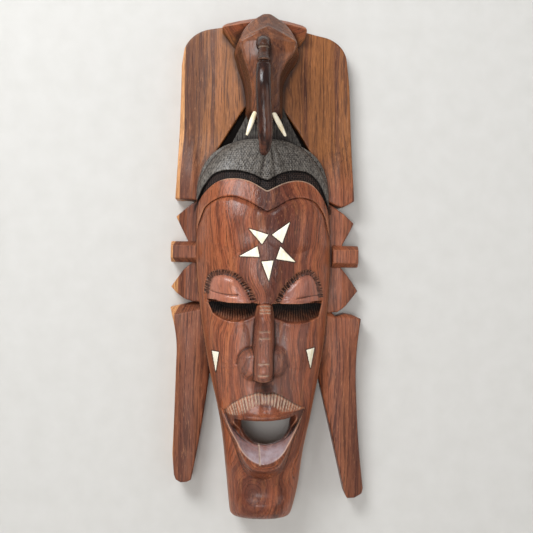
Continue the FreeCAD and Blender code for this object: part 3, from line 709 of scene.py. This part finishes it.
def eye_slot(corners):
    """An eye opening: a hatched pocket that rises inwards to a slit under the lid."""

    def form(x, t, z):
        rim = beyond(corners, x, z)
        within = positive(-rim)
        floor = barrel(x, z) - 1.0 - 26 * (1 - np.exp(-within / 9)) + 0.7 * lashes(corners, x, z)
        pocket = np.maximum(rim, floor - t)
        rise = 0.32 * np.clip(80.0 - t, 0, 40)
        slit = np.maximum(np.maximum(rim + 2.0, rise - 48.5 - z), 12.0 - t)
        return np.maximum(np.minimum(pocket, slit), z + 44.2 - rise)

    return form


def mouth(x, t, z):
    """A funnel from the lips' inner line back to the hollow."""
    front = beyond(LIP_INNER, x, z)
    back = beyond(MOUTH_BACK, x, z)
    share = ease(88.0, 66.0, t)
    funnel = front * (1 - share) + back * share
    roof = above(LIP_LINE, x, z) + 0.10 * positive(94 - t)
    return upper(funnel, roof, 1.0)


def lower_lip(x, t, z):
    outer = beyond(LIP_OUTER, x, z)
    solid = upper(t - lower_lip_height(x, z), outer - 24.0, 1.0)
    solid = upper(solid, face_side(x, z), 2.0)
    return upper(solid, above(LIP_LINE, x, z) - 3.0, 2.0)


def sculpt():
    """Builds the whole block of wood and returns its clay."""
    clay = Clay((-126, -4, -312), (138, 141, 314))
    clay.add((-92, -4, -62), (88, 84, 125), core)
    clay.add((-92, -4, -312), (88, 112, 92), face_plate, 0)
    clay.add((-92, -4, 28), (88, 96, 112), band, 0)
    clay.add((-60, 20, -255), (62, 104, -160), lower_lip, 1.5)
    clay.add((-92, -4, 60), (88, 72, 162), hair_cap, 0)
    clay.add((-50, -4, 110), (50, 44, 218), board(COLUMN, column_height, 2.0))
    clay.add((-76, -4, 80), (76, 20, 218), board(NAPE, nape_height, 1.0))
    clay.add((-118, -4, 74), (2, 50, 302), board(LEFT_EAR, ear_height, 2.2))
    clay.add((2, -4, 70), (116, 50, 298), board(RIGHT_EAR, ear_height, 2.2))
    clay.add((-64, -4, 258), (52, 62, 314), board(CROWN, crown_height, 2.0))
    clay.add((-50, -4, 176), (46, 104, 306), elephant_head, 1.0)
    clay.add((-22, 74, 124), (6, 141, 274), trunk, 1.2)
    clay.add((-122, -4, -50), (-62, 36, 88), board(LEFT_COMB, comb_height, 1.6))
    clay.add((62, -4, -62), (124, 36, 84), board(RIGHT_COMB, comb_height, 1.6))
    clay.add((-120, -4, 0), (-82, 42, 33), temple_block(-117, -84, 3.5, 29.5))
    clay.add((82, -4, -2), (120, 42, 31), temple_block(84, 116.4, 0.5, 27.5))
    clay.add((-122, -4, -275), (-54, 40, -38), board(LEFT_PENDANT, left_pendant_height, 2.2))
    clay.add((56, -4, -294), (135, 40, -42), board(RIGHT_PENDANT, right_pendant_height, 2.2))
    clay.carve((-92, -4, -275), (88, 90, 118), hollow)
    clay.carve((-74, 10, -70), (-8, 104, -42), eye_slot(LEFT_SLOT))
    clay.carve((8, 10, -70), (73, 104, -42), eye_slot(RIGHT_SLOT))
    clay.carve((-54, 10, -222), (54, 120, -165), mouth, 1.2)
    clay.carve((-16, -4, 95), (16, 10, 203), recess, 0)
    return clay


def recess(x, t, z):
    """The channel in the back that the hanger lies in."""
    half_width, depth, foot, top = 14.0, 8.0, 100.0, 200.7
    return np.maximum.reduce(np.broadcast_arrays(np.abs(x) - half_width, t - depth, foot - z, z - top))


def mesh_from(clay, name):
    """The clay's surface as a smooth-shaded mesh in the CAD frame."""
    field = np.maximum(clay.field, -clay.axes[1][None, :, None])  # cut flat at the wall
    grid = openvdb.FloatGrid(FAR)
    grid.copyFromArray(np.ascontiguousarray(np.clip(field, -FAR, FAR)), tolerance=0.0)
    points, quads = grid.convertToQuads(isovalue=0.0)
    low = np.array([axis[0] for axis in clay.axes])
    points = points * STEP + low
    places = np.stack([points[:, 0], -points[:, 1], points[:, 2]], 1) * MM
    places[:, 2] += MIDDLE
    mesh = bpy.data.meshes.new(name)
    mesh.vertices.add(len(places))
    mesh.vertices.foreach_set("co", places.astype(np.float32).ravel())
    mesh.loops.add(quads.size)
    mesh.loops.foreach_set("vertex_index", quads.astype(np.int32).ravel())
    mesh.polygons.add(len(quads))
    mesh.polygons.foreach_set("loop_start", np.arange(0, quads.size, 4, dtype=np.int32))
    mesh.polygons.foreach_set("use_smooth", np.ones(len(quads), bool))
    mesh.update()
    mesh.validate()
    return mesh, points


def box_blur(field, radius):
    """The running mean of a grid over a cube of cells."""
    for axis in range(3):
        margin = [(radius + 1, radius) if number == axis else (0, 0) for number in range(3)]
        total = np.cumsum(np.pad(field, margin, mode="edge"), axis=axis, dtype=np.float32)
        count = field.shape[axis]
        high = np.take(total, np.arange(2 * radius + 1, 2 * radius + 1 + count), axis)
        low = np.take(total, np.arange(0, count), axis)
        field = (high - low) / (2 * radius + 1)
    return field


def sample(clay, field, points):
    """Reads a grid at points between its cells."""
    low = np.array([axis[0] for axis in clay.axes])
    place = np.clip((points - low) / STEP, 0, np.array(field.shape) - 1.001)
    cell = place.astype(int)
    share = place - cell
    total = 0
    for corner in range(8):
        step = np.array([corner & 1, corner >> 1 & 1, corner >> 2 & 1])
        weight = np.prod(np.where(step, share, 1 - share), axis=1)
        i, j, k = (cell + step).T
        total = total + weight * field[i, j, k]
    return total


def on_form(form, x, t, z, reach=1.3):
    """1 where a point lies on a form's surface, falling to 0 a little way off it."""
    return ease(reach, 0.45 * reach, np.abs(form(x, t, z)))


def enclosure(clay, points, reach):
    """The mean distance field around each point: above 0 in cuts, below 0 on edges."""
    solid = np.clip(clay.field, -FAR, FAR)
    return -sample(clay, box_blur(solid, round(reach / STEP)), points)


def relief_zones(clay, points):
    """How enclosed each point is: the wood's colour darkens enclosed points as painted shade and lightens
    edges as wear, and the sides of the elephant's head get painted shade too.
    """
    x, t, z = points.T
    flank = np.abs(x - spline(z, HEAD_CENTRE)) - spline(z, HEAD_WIDTH)
    flank = ease(-2.0, 1.0, flank) * ease(34, 40, t) * ease(94, 84, t) * ease(266, 256, z)
    shade = np.maximum(enclosure(clay, points, 11.0) / 4.0, 0.42 * flank * (z > 180))
    # The shade and cavity shares become painted shade; the fine share darkens cuts as painted shade and
    # lightens edges as wear.
    return {
        "fine": np.clip(2.0 * enclosure(clay, points, STEP) / STEP, -1, 1),
        "cavity_shade": np.clip(enclosure(clay, points, 3.6) / 2.0, -1, 1),
        "shade": np.clip(shade, -1, 1),
    }


def hair_zones(x, t, z, in_face, skin):
    """The charcoal hair, and the black fringe and nape beside it."""
    front = ease(20, 30, t)
    cap = on_form(hair_cap, x, t, z) * (above(HAIR_LOW, x, z) > -1.5) * ease(30, 33, t)
    column = on_form(board(COLUMN, column_height, 2.0), x, t, z) * (z > 110) * front
    nape = on_form(board(NAPE, nape_height, 1.0), x, t, z) * ease(10, 12, t)
    fringe = ease(-0.2, 0.6, above(BAND_HIGH, x, z)) * ease(1.4, 0.6, above(HAIR_LOW, x, z))
    fringe = fringe * in_face * front * skin
    return {
        "hair": np.maximum(cap, column) * skin,
        "black": np.maximum.reduce([fringe, nape, 0.55 * column]),
    }


def pale_cuts_and_rim_highlights(x, t, z, pockets):
    """Where the carver's last cuts left pale wood without oil, with painted highlights along the band's
    top edge and the lower lip's outer rim.
    """
    outer = beyond(LIP_OUTER, x, z)
    strokes = stache_strokes(x, z) * (z > -181) + nose_cuts(x, z) * (t > 80)
    crack = ease(1.2, 0.4, np.abs(crack_side(x, z))) * ease(-209, -211, z)
    strokes = strokes + crack * (outer < 2) * (t > 70)
    hatched = np.where(x < 0, lashes(LEFT_SLOT, x, z), lashes(RIGHT_SLOT, x, z))
    strokes = strokes + 0.25 * pockets * ease(0.2, 0.9, hatched) * (t < 79) * ease(-54, -60, z)
    away = np.abs(x - 2)
    # Painted highlights: pale lines along the lower lip's outer rim and along the band's top edge.
    lip_rim_highlight = ease(0.9, 0.3, np.abs(outer + 0.5)) * ease(10, 24, away) * (z < -181) * (t > 70)
    band_rim_highlight = ease(1.1, 0.5, np.abs(above(BAND_HIGH, x, z) + 0.5)) * ease(64, 50, away)
    band_rim_highlight = band_rim_highlight * (t > barrel(x, z) - 1.0)
    return np.maximum.reduce([strokes, 0.6 * lip_rim_highlight, 0.75 * band_rim_highlight])


def wood_zones(clay, points):
    """How the wood is coloured: for every zone, a share at each point; most zones are the carver's
    finish, some are painted shade, shadow, sheen, reflection and highlights.
    """
    x, t, z = points.T
    in_face = (face_side(x, z) < 4) & (z < 125)
    on_face = (t > 50) * in_face
    hollowed = ease(2.5, 1.0, np.abs(hollow(x, t, z)))
    skin = 1 - hollowed
    zones = relief_zones(clay, points)
    zones.update(hair_zones(x, t, z, in_face, skin))

    eyes = eye_distance(x, z)
    pockets = ease(0.8, -0.6, eyes) * (z < -44.0) * ease(0.5, 3.0, barrel(x, z) - t) * (t > 26)
    # Painted shadow: black in the upper part of the eye pockets, under the lids.
    under_lid = pockets * ease(-58, -49, z) * in_face
    # Painted shadow: a dark patch beneath the nose tip.
    under_nose = 0.8 * bell(x - 0.5, 5.5) * bell(z + 144, 7) * (t < 98) * on_face
    glue = np.minimum.reduce([beyond(corners, x, z) for corners in INLAYS.values()])
    glue = 0.75 * ease(2.0, 0.6, glue) * on_face
    zones["black"] = np.maximum.reduce([zones["black"], under_lid, under_nose, glue])
    # The eye pockets are stained near black, most towards the lids: partly their own dark stain, partly
    # painted shade.
    zones["socket"] = pockets * ease(-72, -50, z) * in_face
    brow, notch = np.maximum(brow_strip(BROW_LEFT, x, z), brow_strip(BROW_RIGHT, x, z))
    zones["brow"] = brow * on_face
    zones["notch"] = notch * on_face
    under_brows = np.minimum(under_brow(BROW_LEFT, x, z), under_brow(BROW_RIGHT, x, z))
    # The lids' pinkish tint is partly their own tone, partly painted sheen.
    zones["lid"] = ease(3, 9, -under_brows) * ease(-45.5, -43.5, z) * on_face

    knob_line = bell(z - 253.6, 0.8) * on_form(trunk, x, t, z, 1.8) * (t > 98)
    # The pale zone holds bare cuts and the trunk's carved ring line, and also the painted rim highlights.
    zones["raw_and_rim_highlight"] = np.maximum(pale_cuts_and_rim_highlights(x, t, z, pockets) * on_face * skin, 0.6 * knob_line)
    zones["trunk"] = on_form(trunk, x, t, z, 1.8) * (t > 84)

    inner = beyond(LIP_INNER, x, z)
    outer = beyond(LIP_OUTER, x, z)
    # The lower lip's pale greyish pink, lighter towards its outer rim, is partly its own tone, partly
    # painted sky reflection.
    lip = ease(0.8, -0.8, outer) * ease(-1.5, 0.0, inner) * (above(LIP_LINE, x, z) < 0)
    zones["lip"] = lip * (t > 55) * ease(-6.0, 10.0, inner)
    # Painted light: a pale haze that brightens the middle of the face, over the cheeks and nose.
    middle = np.exp(-(((x - 2) / 52) ** 4) - ((z + 118) / 52) ** 4) * ease(4, 12, outer)
    zones["painted_face_light"] = middle * on_face * skin * ease(0.5, -0.5, pockets)
    # Painted shade: the mouth's inner wall, darker the further back it goes.
    mouth_wall = (inner < 1.0) & (z < -172) & (z > -220) & (t > 30)
    zones["mouth"] = mouth_wall * on_face * ease(96, 84, t)
    zones["back"] = np.maximum(hollowed * (eyes > 2) * ~mouth_wall, ease(1.5, 0.6, t))
    return zones


def paint(mesh, zones):
    """Keeps each zone's shares with the mesh, where the material reads them."""
    for name, values in zones.items():
        layer = mesh.attributes.new(name, "FLOAT", "POINT")
        layer.data.foreach_set("value", values.astype(np.float32))


# ---- materials


class Signal:
    """A value inside a material; sums and products of signals become math nodes."""

    def __init__(self, shader, socket):
        self.shader = shader
        self.socket = socket

    def __add__(self, other):
        return self.shader.math("ADD", self, other)

    def __sub__(self, other):
        return self.shader.math("SUBTRACT", self, other)

    def __rsub__(self, other):
        return self.shader.math("SUBTRACT", other, self)

    def __mul__(self, other):
        return self.shader.math("MULTIPLY", self, other)


class Shader:
    """A material being built, with short names for the nodes it uses."""

    def __init__(self, name):
        self.material = bpy.data.materials.new(name)
        self.material.use_nodes = True
        self.tree = self.material.node_tree
        self.tree.nodes.clear()
        self.place = self.node("ShaderNodeTexCoord", "Object")

    def node(self, kind, output, feeds=None, **settings):
        """Adds a node, sets and feeds it, and returns the output asked for."""
        made = self.tree.nodes.new(kind)
        for name, value in settings.items():
            setattr(made, name, value)
        for name, value in (feeds or {}).items():
            if isinstance(value, Signal):
                self.tree.links.new(value.socket, made.inputs[name])
            else:
                made.inputs[name].default_value = value
        return Signal(self, made.outputs[output])

    def math(self, operation, first, second=0.0, clamp=False):
        feeds = {0: first, 1: second}
        return self.node("ShaderNodeMath", 0, feeds, operation=operation, use_clamp=clamp)

    def parts(self):
        """The object coordinates one by one, in the frame's metres."""
        return [self.node("ShaderNodeSeparateXYZ", axis, {0: self.place}) for axis in range(3)]

    def attribute(self, name):
        return self.node("ShaderNodeAttribute", "Fac", attribute_name=name)

    def noise(self, stretch, scale, detail=2.0, rough=0.5, offset=(0, 0, 0)):
        """Noise over the object coordinates, first stretched and shifted, or over a signal."""
        if not isinstance(stretch, Signal):
            feeds = {"Vector": self.place, "Scale": stretch, "Location": offset}
            stretch = self.node("ShaderNodeMapping", 0, feeds)
        feeds = {"Vector": stretch, "Scale": scale, "Detail": detail, "Roughness": rough}
        return self.node("ShaderNodeTexNoise", "Fac", feeds)

    def span(self, value, low, high, to_low=0.0, to_high=1.0):
        feeds = {"Value": value, "From Min": low, "From Max": high, "To Min": to_low,
                 "To Max": to_high}
        return self.node("ShaderNodeMapRange", 0, feeds, interpolation_type="SMOOTHSTEP")

    def ramp(self, value, *stops):
        ramp = self.node("ShaderNodeValToRGB", "Color", {"Fac": value})
        elements = ramp.socket.node.color_ramp.elements
        while len(elements) < len(stops):
            elements.new(0.5)
        for element, (place, colour) in zip(elements, stops):
            element.position = place
            element.color = linear(colour)
        return ramp

    def mix(self, share, first, second):
        feeds = {0: share, 6: linear(first), 7: linear(second)}
        return self.node("ShaderNodeMix", 2, feeds, data_type="RGBA")

    def bump(self, height, distance, strength, normal=None):
        feeds = {"Height": height, "Distance": distance, "Strength": strength}
        if normal:
            feeds["Normal"] = normal
        return self.node("ShaderNodeBump", "Normal", feeds)

    def finish(self, **feeds):
        """Ends the material with the shiny surface that most of the pieces have."""
        named = {name.replace("_", " "): value for name, value in feeds.items()}
        return self.show(self.node("ShaderNodeBsdfPrincipled", 0, named))

    def show(self, surface):
        output = self.tree.nodes.new("ShaderNodeOutputMaterial")
        self.tree.links.new(surface.socket, output.inputs["Surface"])
        return self.material


def linear(colour):
    """Makes a colour of 0-255 screen values linear; a signal stays as it is."""
    if isinstance(colour, Signal):
        return colour
    shares = [value / 255 for value in colour]
    shares = [value / 12.92 if value <= 0.04045 else ((value + 0.055) / 1.055) ** 2.4
              for value in shares]
    return (*shares, 1.0)


HEART_X = 12.0 * MM  # the log's heart runs upright, just under the skin of the forehead
HEART_Y = -86.0 * MM
# How strongly each painted zone tints the wood, and its colour: real stains and bare cuts, and also
# painted light and shade (the face haze, the rim highlights, the lids' sheen, the lip's reflection, and
# the shade in the eye pockets and mouth).
STAINS_AND_PAINTED_LIGHT = (
    ("painted_face_light", 0.20, (206, 166, 152)),
    ("lid", 0.34, (196, 138, 124)),
    ("lip", 0.92, (150, 134, 138)),
    ("brow", 0.70, (76, 52, 44)),
    ("notch", 0.62, (40, 22, 18)),
    ("trunk", 1.02, (35, 20, 17)),
    ("socket", 1.10, (22, 15, 12)),
    ("mouth", 0.68, (52, 28, 24)),
    ("raw_and_rim_highlight", 0.78, (188, 162, 140)),
)
ZONES = ("hair", "black", "back", "cavity_shade", "shade", "fine", *(stain[0] for stain in STAINS_AND_PAINTED_LIGHT))


def growth(shader, x, y, height):
    """The log's figure: wavering and plain distance from its heart, in metres."""
    span, noise = shader.span, shader.noise
    face = span(y, -0.042, -0.060)
    chin = span(height, -0.400, -0.455) * face
    lean = height + 0.150
    bow = shader.math("MINIMUM", lean * lean, 0.012) * 1.7 * face
    across = x - HEART_X + chin * 0.020
    deep = y - (bow + HEART_Y)
    ringed = (height + 0.472) * chin * 0.7
    plain = shader.math("SQRT", across * across + deep * deep + ringed * ringed)
    slow = (noise((1, 1, 0.3), 14, 2) - 0.5) * 0.018
    slow = slow * span(plain, 0.125, 0.085, 0.35)
    mid = (noise((1, 1, 0.12), 60, 2, offset=(3, 1, 2)) - 0.5) * 0.006
    swirl = (noise((1, 1, 0.75), 17, 1, offset=(8, 2, 5)) - 0.5) * 0.050
    swirl = swirl * span(plain, 0.100, 0.065) * face
    swirl = swirl * span(height, -0.040, -0.060)
    return plain + slow + (mid + swirl), plain + mid * 0.3


def figured_wood(shader, x, y, height):
    """Colour and relief of the oiled wood itself; places and distances are frame metres."""
    span, noise, mix = shader.span, shader.noise, shader.mix
    radius, plain = growth(shader, x, y, height)
    along = shader.node("ShaderNodeCombineXYZ", 0, {0: radius, 1: height * 0.02})
    across = {"broad": noise(along, 85, 2, 0.6), "lines": noise(along, 560, 3, 0.7)}
    streak = noise((1, 1, 0.035), 260, 3, 0.6)
    glow = noise((1, 1, 0.05), 130, 2, offset=(5, 5, 5))
    pores = noise((1, 1, 0.05), 900, 2, 0.6, (9, 2, 4))
    flecks = noise((1, 1, 0.12), 700, 3, 0.7, (1, 7, 2))
    colour = shader.ramp(shader.math("DIVIDE", radius, 0.16),
                         (0.02, (84, 46, 36)), (0.09, (108, 58, 42)), (0.18, (138, 76, 51)),
                         (0.34, (152, 83, 54)), (0.50, (146, 82, 52)), (0.70, (136, 78, 53)),
                         (0.90, (140, 84, 57)))

    def tint(share, stain):
        return mix(share, colour, stain)

    red = span(height, -0.22, -0.38) * span(radius, 0.085, 0.11)
    colour = tint(red * 0.8, (114, 66, 46))
    golden = span(height, -0.11, -0.04) * span(y, -0.05, -0.04)
    colour = tint(golden * 0.75, (136, 88, 46))
    # Painted shade: darkens the front of the elephant's head and crown.
    crest = span(height, -0.04, -0.02) * span(y, -0.05, -0.06)
    colour = tint(crest * 0.70, (98, 62, 38))
    colour = tint(span(across["broad"], 0.50, 0.64, 0, 0.62), (74, 36, 28))
    colour = tint(span(across["broad"], 0.47, 0.30, 0, 0.20), (184, 118, 74))
    colour = tint(span(across["lines"], 0.49, 0.60, 0, 0.64), (54, 26, 20))
    bands = span(plain, 0.1115, 0.1130) * span(height, -0.14, -0.09, 0.25)
    bands = bands * span(noise(along, 250, 1), 0.36, 0.52, 0.5)
    colour = tint(bands * 0.70, (70, 37, 29))
    sapwood = mix(span(across["lines"], 0.4, 0.6), (206, 150, 98), (172, 116, 72))
    bark = plain - span(height, -0.118, -0.108, 0.1350, 0.1318)
    colour = tint(span(bark, 0.0, 0.0007) * span(x, 0.010, 0.0), sapwood)
    middle = span(shader.math("ABSOLUTE", x), 0.017, 0.013)
    middle = middle * span(height, -0.130, -0.124)
    colour = tint(middle * 0.45, (58, 38, 34))
    colour = tint(span(streak, 0.50, 0.72, 0, 0.28), (60, 26, 17))
    colour = tint(span(glow, 0.52, 0.72, 0, 0.20), (190, 120, 76))
    colour = tint(span(pores, 0.56, 0.68, 0, 0.60), (40, 17, 12))
    colour = tint(span(flecks, 0.56, 0.72, 0, 0.24), (214, 150, 106))
    colour = tint(span(flecks, 0.45, 0.30, 0, 0.40), (58, 28, 20))
    return colour, pores + streak * 0.5


def wood_material():
    """Oiled rosewood with the zones that the carver stained, cut bare or left rough, and with painted
    shade, shadow, sheen, reflection and highlights.
    """
    shader = Shader("oiled_rosewood")
    span, noise, mix = shader.span, shader.noise, shader.mix
    x, y, height = shader.parts()
    colour, relief = figured_wood(shader, x, y, height)
    zones = {name: shader.attribute(name) for name in ZONES}
    speckle = noise((1, 1, 0.4), 520, 3, 0.6, (2, 2, 2))
    charcoal = mix(span(speckle, 0.3, 0.7), (46, 42, 39), (112, 106, 99))
    colour = mix(zones["hair"], colour, charcoal)
    streaks = noise((1, 1, 0.22), 120, 3, 0.6, (3, 3, 1))
    uneven = span(streaks, 0.34, 0.66, 0.60, 1.04)
    for name, share, stain in STAINS_AND_PAINTED_LIGHT:
        amount = shader.math("MULTIPLY", zones[name], uneven * share, True)
        colour = mix(amount, colour, stain)
    crown = span(height, -0.10, -0.06, 0.45)
    fine = zones["fine"]
    # Painted shade: dark brown in broad recesses and on the elephant head's sides, stronger towards the
    # crest, and darker still in crevices and at the bottoms of fine cuts.
    colour = mix(span(zones["shade"], 0.04, 0.50, 0, 0.72) * crown, colour, (36, 20, 14))
    colour = mix(span(zones["cavity_shade"], 0.25, 0.9, 0, 0.40), colour, (24, 12, 9))
    colour = mix(span(fine, 0.20, 0.9, 0, 0.55), colour, (22, 11, 9))
    wear = span(fine, -0.30, -0.95, 0, 0.5) * (1.0 - zones["hair"])
    colour = mix(wear, colour, mix(0.5, colour, (210, 150, 112)))
    # The black zone is the charred fringe, nape and hair column, and also painted shadow under the lids
    # and the nose; convex points stay a little lighter.
    soot_and_shadow = mix(span(fine, -0.20, -0.80, 0, 0.45), (11, 9, 9), (74, 62, 56))
    colour = mix(zones["black"] * 0.96, colour, soot_and_shadow)
    saw = noise((1, 1, 0.15), 160, 4, offset=(1, 8, 3))
    rough_wood = mix(saw, (126, 78, 52), (180, 128, 90))
    colour = mix(zones["back"] * 0.8, colour, rough_wood)

    dull = zones["back"]
    for name in ("raw_and_rim_highlight", "black", "socket"):
        dull = shader.math("MAXIMUM", dull, zones[name])
    smear = noise((1, 1, 0.3), 90, 3, offset=(4, 4, 4))
    polish = zones["trunk"] * 0.11 + (zones["lip"] + zones["lid"]) * 0.07
    gloss = span(smear, 0.3, 0.7, 0.24, 0.38) - polish
    gloss = gloss + span(y, -0.058, -0.042, 0, 0.14)
    roughness = shader.math("ADD", gloss, dull * 0.42, True)
    tool = noise((1, 1, 0.5), 130, 2, offset=(6, 1, 9))
    normal = shader.bump(tool, 0.0010, 0.5, shader.bump(relief, 0.0003, 0.8))
    return shader.finish(Base_Color=colour, Roughness=roughness, Normal=normal,
                         Specular_IOR_Level=0.28)


def bone_material(name, pale, stained, scale):
    """Cut bone: cream, streaked along its length, slightly soiled."""
    shader = Shader(name)
    streak = shader.noise((1, 1, 0.3), scale, 4, 0.6)
    colour = shader.mix(shader.span(streak, 0.42, 0.72), pale, stained)
    fleck = shader.noise((1, 1, 1), scale * 5, 2, offset=(3, 3, 3))
    colour = shader.mix(shader.span(fleck, 0.60, 0.75, 0, 0.35), colour, (150, 118, 84))
    return shader.finish(Base_Color=colour, Roughness=shader.span(fleck, 0.3, 0.7, 0.35, 0.55),
                         Normal=shader.bump(streak, 0.0003, 0.6), IOR=1.5)


def zinc_material(name, scale):
    """Zinc-plated steel: dull grey with a fine mottle."""
    shader = Shader(name)
    mottle = shader.noise((1, 1, 1), scale, 4, 0.6)
    colour = shader.mix(mottle, (128, 130, 130), (186, 188, 186))
    return shader.finish(Base_Color=colour, Metallic=0.9,
                         Roughness=shader.span(mottle, 0.3, 0.7, 0.30, 0.48),
                         Normal=shader.bump(mottle, 0.00004, 0.6))


# ---- pieces


def add_object(name, mesh, material):
    made = bpy.data.objects.new(name, mesh)
    bpy.context.scene.collection.objects.link(made)
    made.data.materials.append(material)
    return made


def make_body(clay, material):
    """The whole block of wood, shown in place of the smooth CAD block."""
    mesh, points = mesh_from(clay, "carved_wood")
    paint(mesh, wood_zones(clay, points))
    body = add_object("carved_wood", mesh, material)
    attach(body, "mask")
    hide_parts("carved_body")


def inlay_mesh(name, corners):
    """A thin triangular plate that follows the wood and stands a hair proud of it."""
    count = 16
    face_rise, edge_rise, thickness, roughness = 0.55, 0.25, 2.2, 0.07
    (ax, az), (bx, bz), (cx, cz) = corners
    rng = np.random.default_rng(sum(map(ord, name)))
    vertices = []
    faces = []
    index = {}
    for row in range(count + 1):
        for place in range(count + 1 - row):
            u, v = row / count, place / count
            w = 1 - u - v
            x = ax * w + bx * u + cx * v
            z = az * w + bz * u + cz * v
            edge = min(u, v, w) < 1e-6
            wobble = rng.normal(0, roughness) if edge and max(u, v, w) < 0.999 else 0.0
            depth = float(face_height(x, z)) + (edge_rise if edge else face_rise)
            index[row, place] = len(vertices)
            vertices.append(to_frame(x + wobble, depth, z + wobble))
    for row in range(count):
        for place in range(count - row):
            b, c = index[row + 1, place], index[row, place + 1]
            faces.append((index[row, place], b, c))
            if place < count - row - 1:
                faces.append((b, index[row + 1, place + 1], c))
    rim = [index[row, 0] for row in range(count + 1)]
    rim += [index[count - place, place] for place in range(1, count + 1)]
    rim += [index[0, count - place] for place in range(1, count)]
    below = len(vertices)
    vertices += [vertices[number] + Vector((0, thickness * MM, 0)) for number in rim]
    for number, top in enumerate(rim):
        following = (number + 1) % len(rim)
        faces.append((top, below + number, below + following, rim[following]))
    faces.append(tuple(below + number for number in reversed(range(len(rim)))))
    mesh = bpy.data.meshes.new(name + "_bone")
    mesh.from_pydata(vertices, [], faces)
    mesh.update()
    return mesh


def make_inlays(material):
    for name, corners in INLAYS.items():
        piece = add_object(name + "_bone", inlay_mesh(name, corners), material)
        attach(piece, "mask")
        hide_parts(name)


def finish_cad_pieces(finishes):
    """The tusks and the hanger are shown as the CAD has them, each with a real finish."""
    for start, material in finishes.items():
        for node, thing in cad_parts.items():
            if node.startswith(start):
                for place in thing.material_slots:
                    place.material = material


# ---- stage, light, camera


def paper_material():
    """Matt studio paper; its back lets light and sight through, so the mask's back can be seen."""
    shader = Shader("studio_paper")
    speck = shader.noise(shader.place, 40, 2)
    colour = shader.mix(speck, (190, 188, 184), (200, 198, 195))
    matt = shader.node("ShaderNodeBsdfDiffuse", 0, {"Color": colour})
    clear = shader.node("ShaderNodeBsdfTransparent", 0)
    behind = shader.node("ShaderNodeNewGeometry", "Backfacing")
    return shader.show(shader.node("ShaderNodeMixShader", 0, {0: behind, 1: matt, 2: clear}))


def add_sheet(name, corners, material):
    mesh = bpy.data.meshes.new(name)
    mesh.from_pydata(corners, [], [tuple(range(len(corners)))])
    mesh.update()
    sheet = add_object(name, mesh, material)
    sheet.visible_shadow = False


def make_stage():
    """A pale wall that the mask hangs against and a pale floor."""
    paper = paper_material()
    reach = 4.0
    wall = 0.0006
    floor = MIDDLE - 0.50
    high = floor + 5.0
    across = ((-reach, floor), (reach, floor), (reach, high), (-reach, high))
    add_sheet("studio_wall", [(x, wall, z) for x, z in across], paper)
    around = ((-reach, -reach), (reach, -reach), (reach, reach), (-reach, reach))
    add_sheet("studio_floor", [(x, y, floor) for x, y in around], paper)


def add_light(name, place, aim, size, power, colour=(1, 1, 1)):
    lamp = bpy.data.lights.new(name, "AREA")
    lamp.shape = "RECTANGLE"
    lamp.size, lamp.size_y = size
    lamp.energy = power
    lamp.color = colour
    made = bpy.data.objects.new(name, lamp)
    made.location = place
    made.rotation_euler = (Vector(aim) - Vector(place)).to_track_quat("-Z", "Y").to_euler()
    bpy.context.scene.collection.objects.link(made)


def make_lights():
    high_face = (0, -0.05, MIDDLE + 0.12)
    add_light("key", (-0.75, -1.25, MIDDLE + 1.10), high_face, (0.8, 0.6), 30, (0.95, 0.98, 1.0))
    add_light("fill", (1.7, -1.3, MIDDLE + 0.2), (0, 0, MIDDLE - 0.1), (1.2, 1.2), 8)
    add_light("front_fill", (-0.22, -2.0, MIDDLE - 0.12), (0, 0, MIDDLE - 0.15), (0.6, 0.6), 13)
    add_light("back_fill", (-0.6, 1.9, MIDDLE + 1.2), (0, 0, MIDDLE), (1.6, 1.2), 10)
    world = bpy.data.worlds.new("studio")
    world.use_nodes = True
    world.node_tree.nodes["Background"].inputs["Color"].default_value = (1.0, 0.99, 0.98, 1)
    world.node_tree.nodes["Background"].inputs["Strength"].default_value = 0.34
    bpy.context.scene.world = world
    bpy.context.scene.view_settings.view_transform = "Standard"


def make_camera():
    """1.1 m from the wall and level with the middle, a little to the left and turned inwards."""
    data = bpy.data.cameras.new("camera")
    data.sensor_width = 36.0
    data.lens = 57.95
    camera = bpy.data.objects.new("camera", data)
    camera.location = (-0.033, -1.100, MIDDLE)
    yaw = math.radians(-1.88)
    roll = math.radians(1.1)
    turn = Euler((math.pi / 2, 0, yaw)).to_matrix() @ Euler((0, 0, roll)).to_matrix()
    camera.rotation_euler = turn.to_euler()
    bpy.context.scene.collection.objects.link(camera)
    bpy.context.scene.camera = camera


def main():
    make_body(sculpt(), wood_material())
    make_inlays(bone_material("cut_bone", (240, 234, 214), (226, 213, 182), 220))
    tusk_bone = bone_material("polished_bone", (240, 230, 206), (220, 200, 160), 160)
    finish_cad_pieces({"tusk": tusk_bone, "hanger": zinc_material("zinc_plate", 260)})
    make_stage()
    make_lights()
    make_camera()


main()
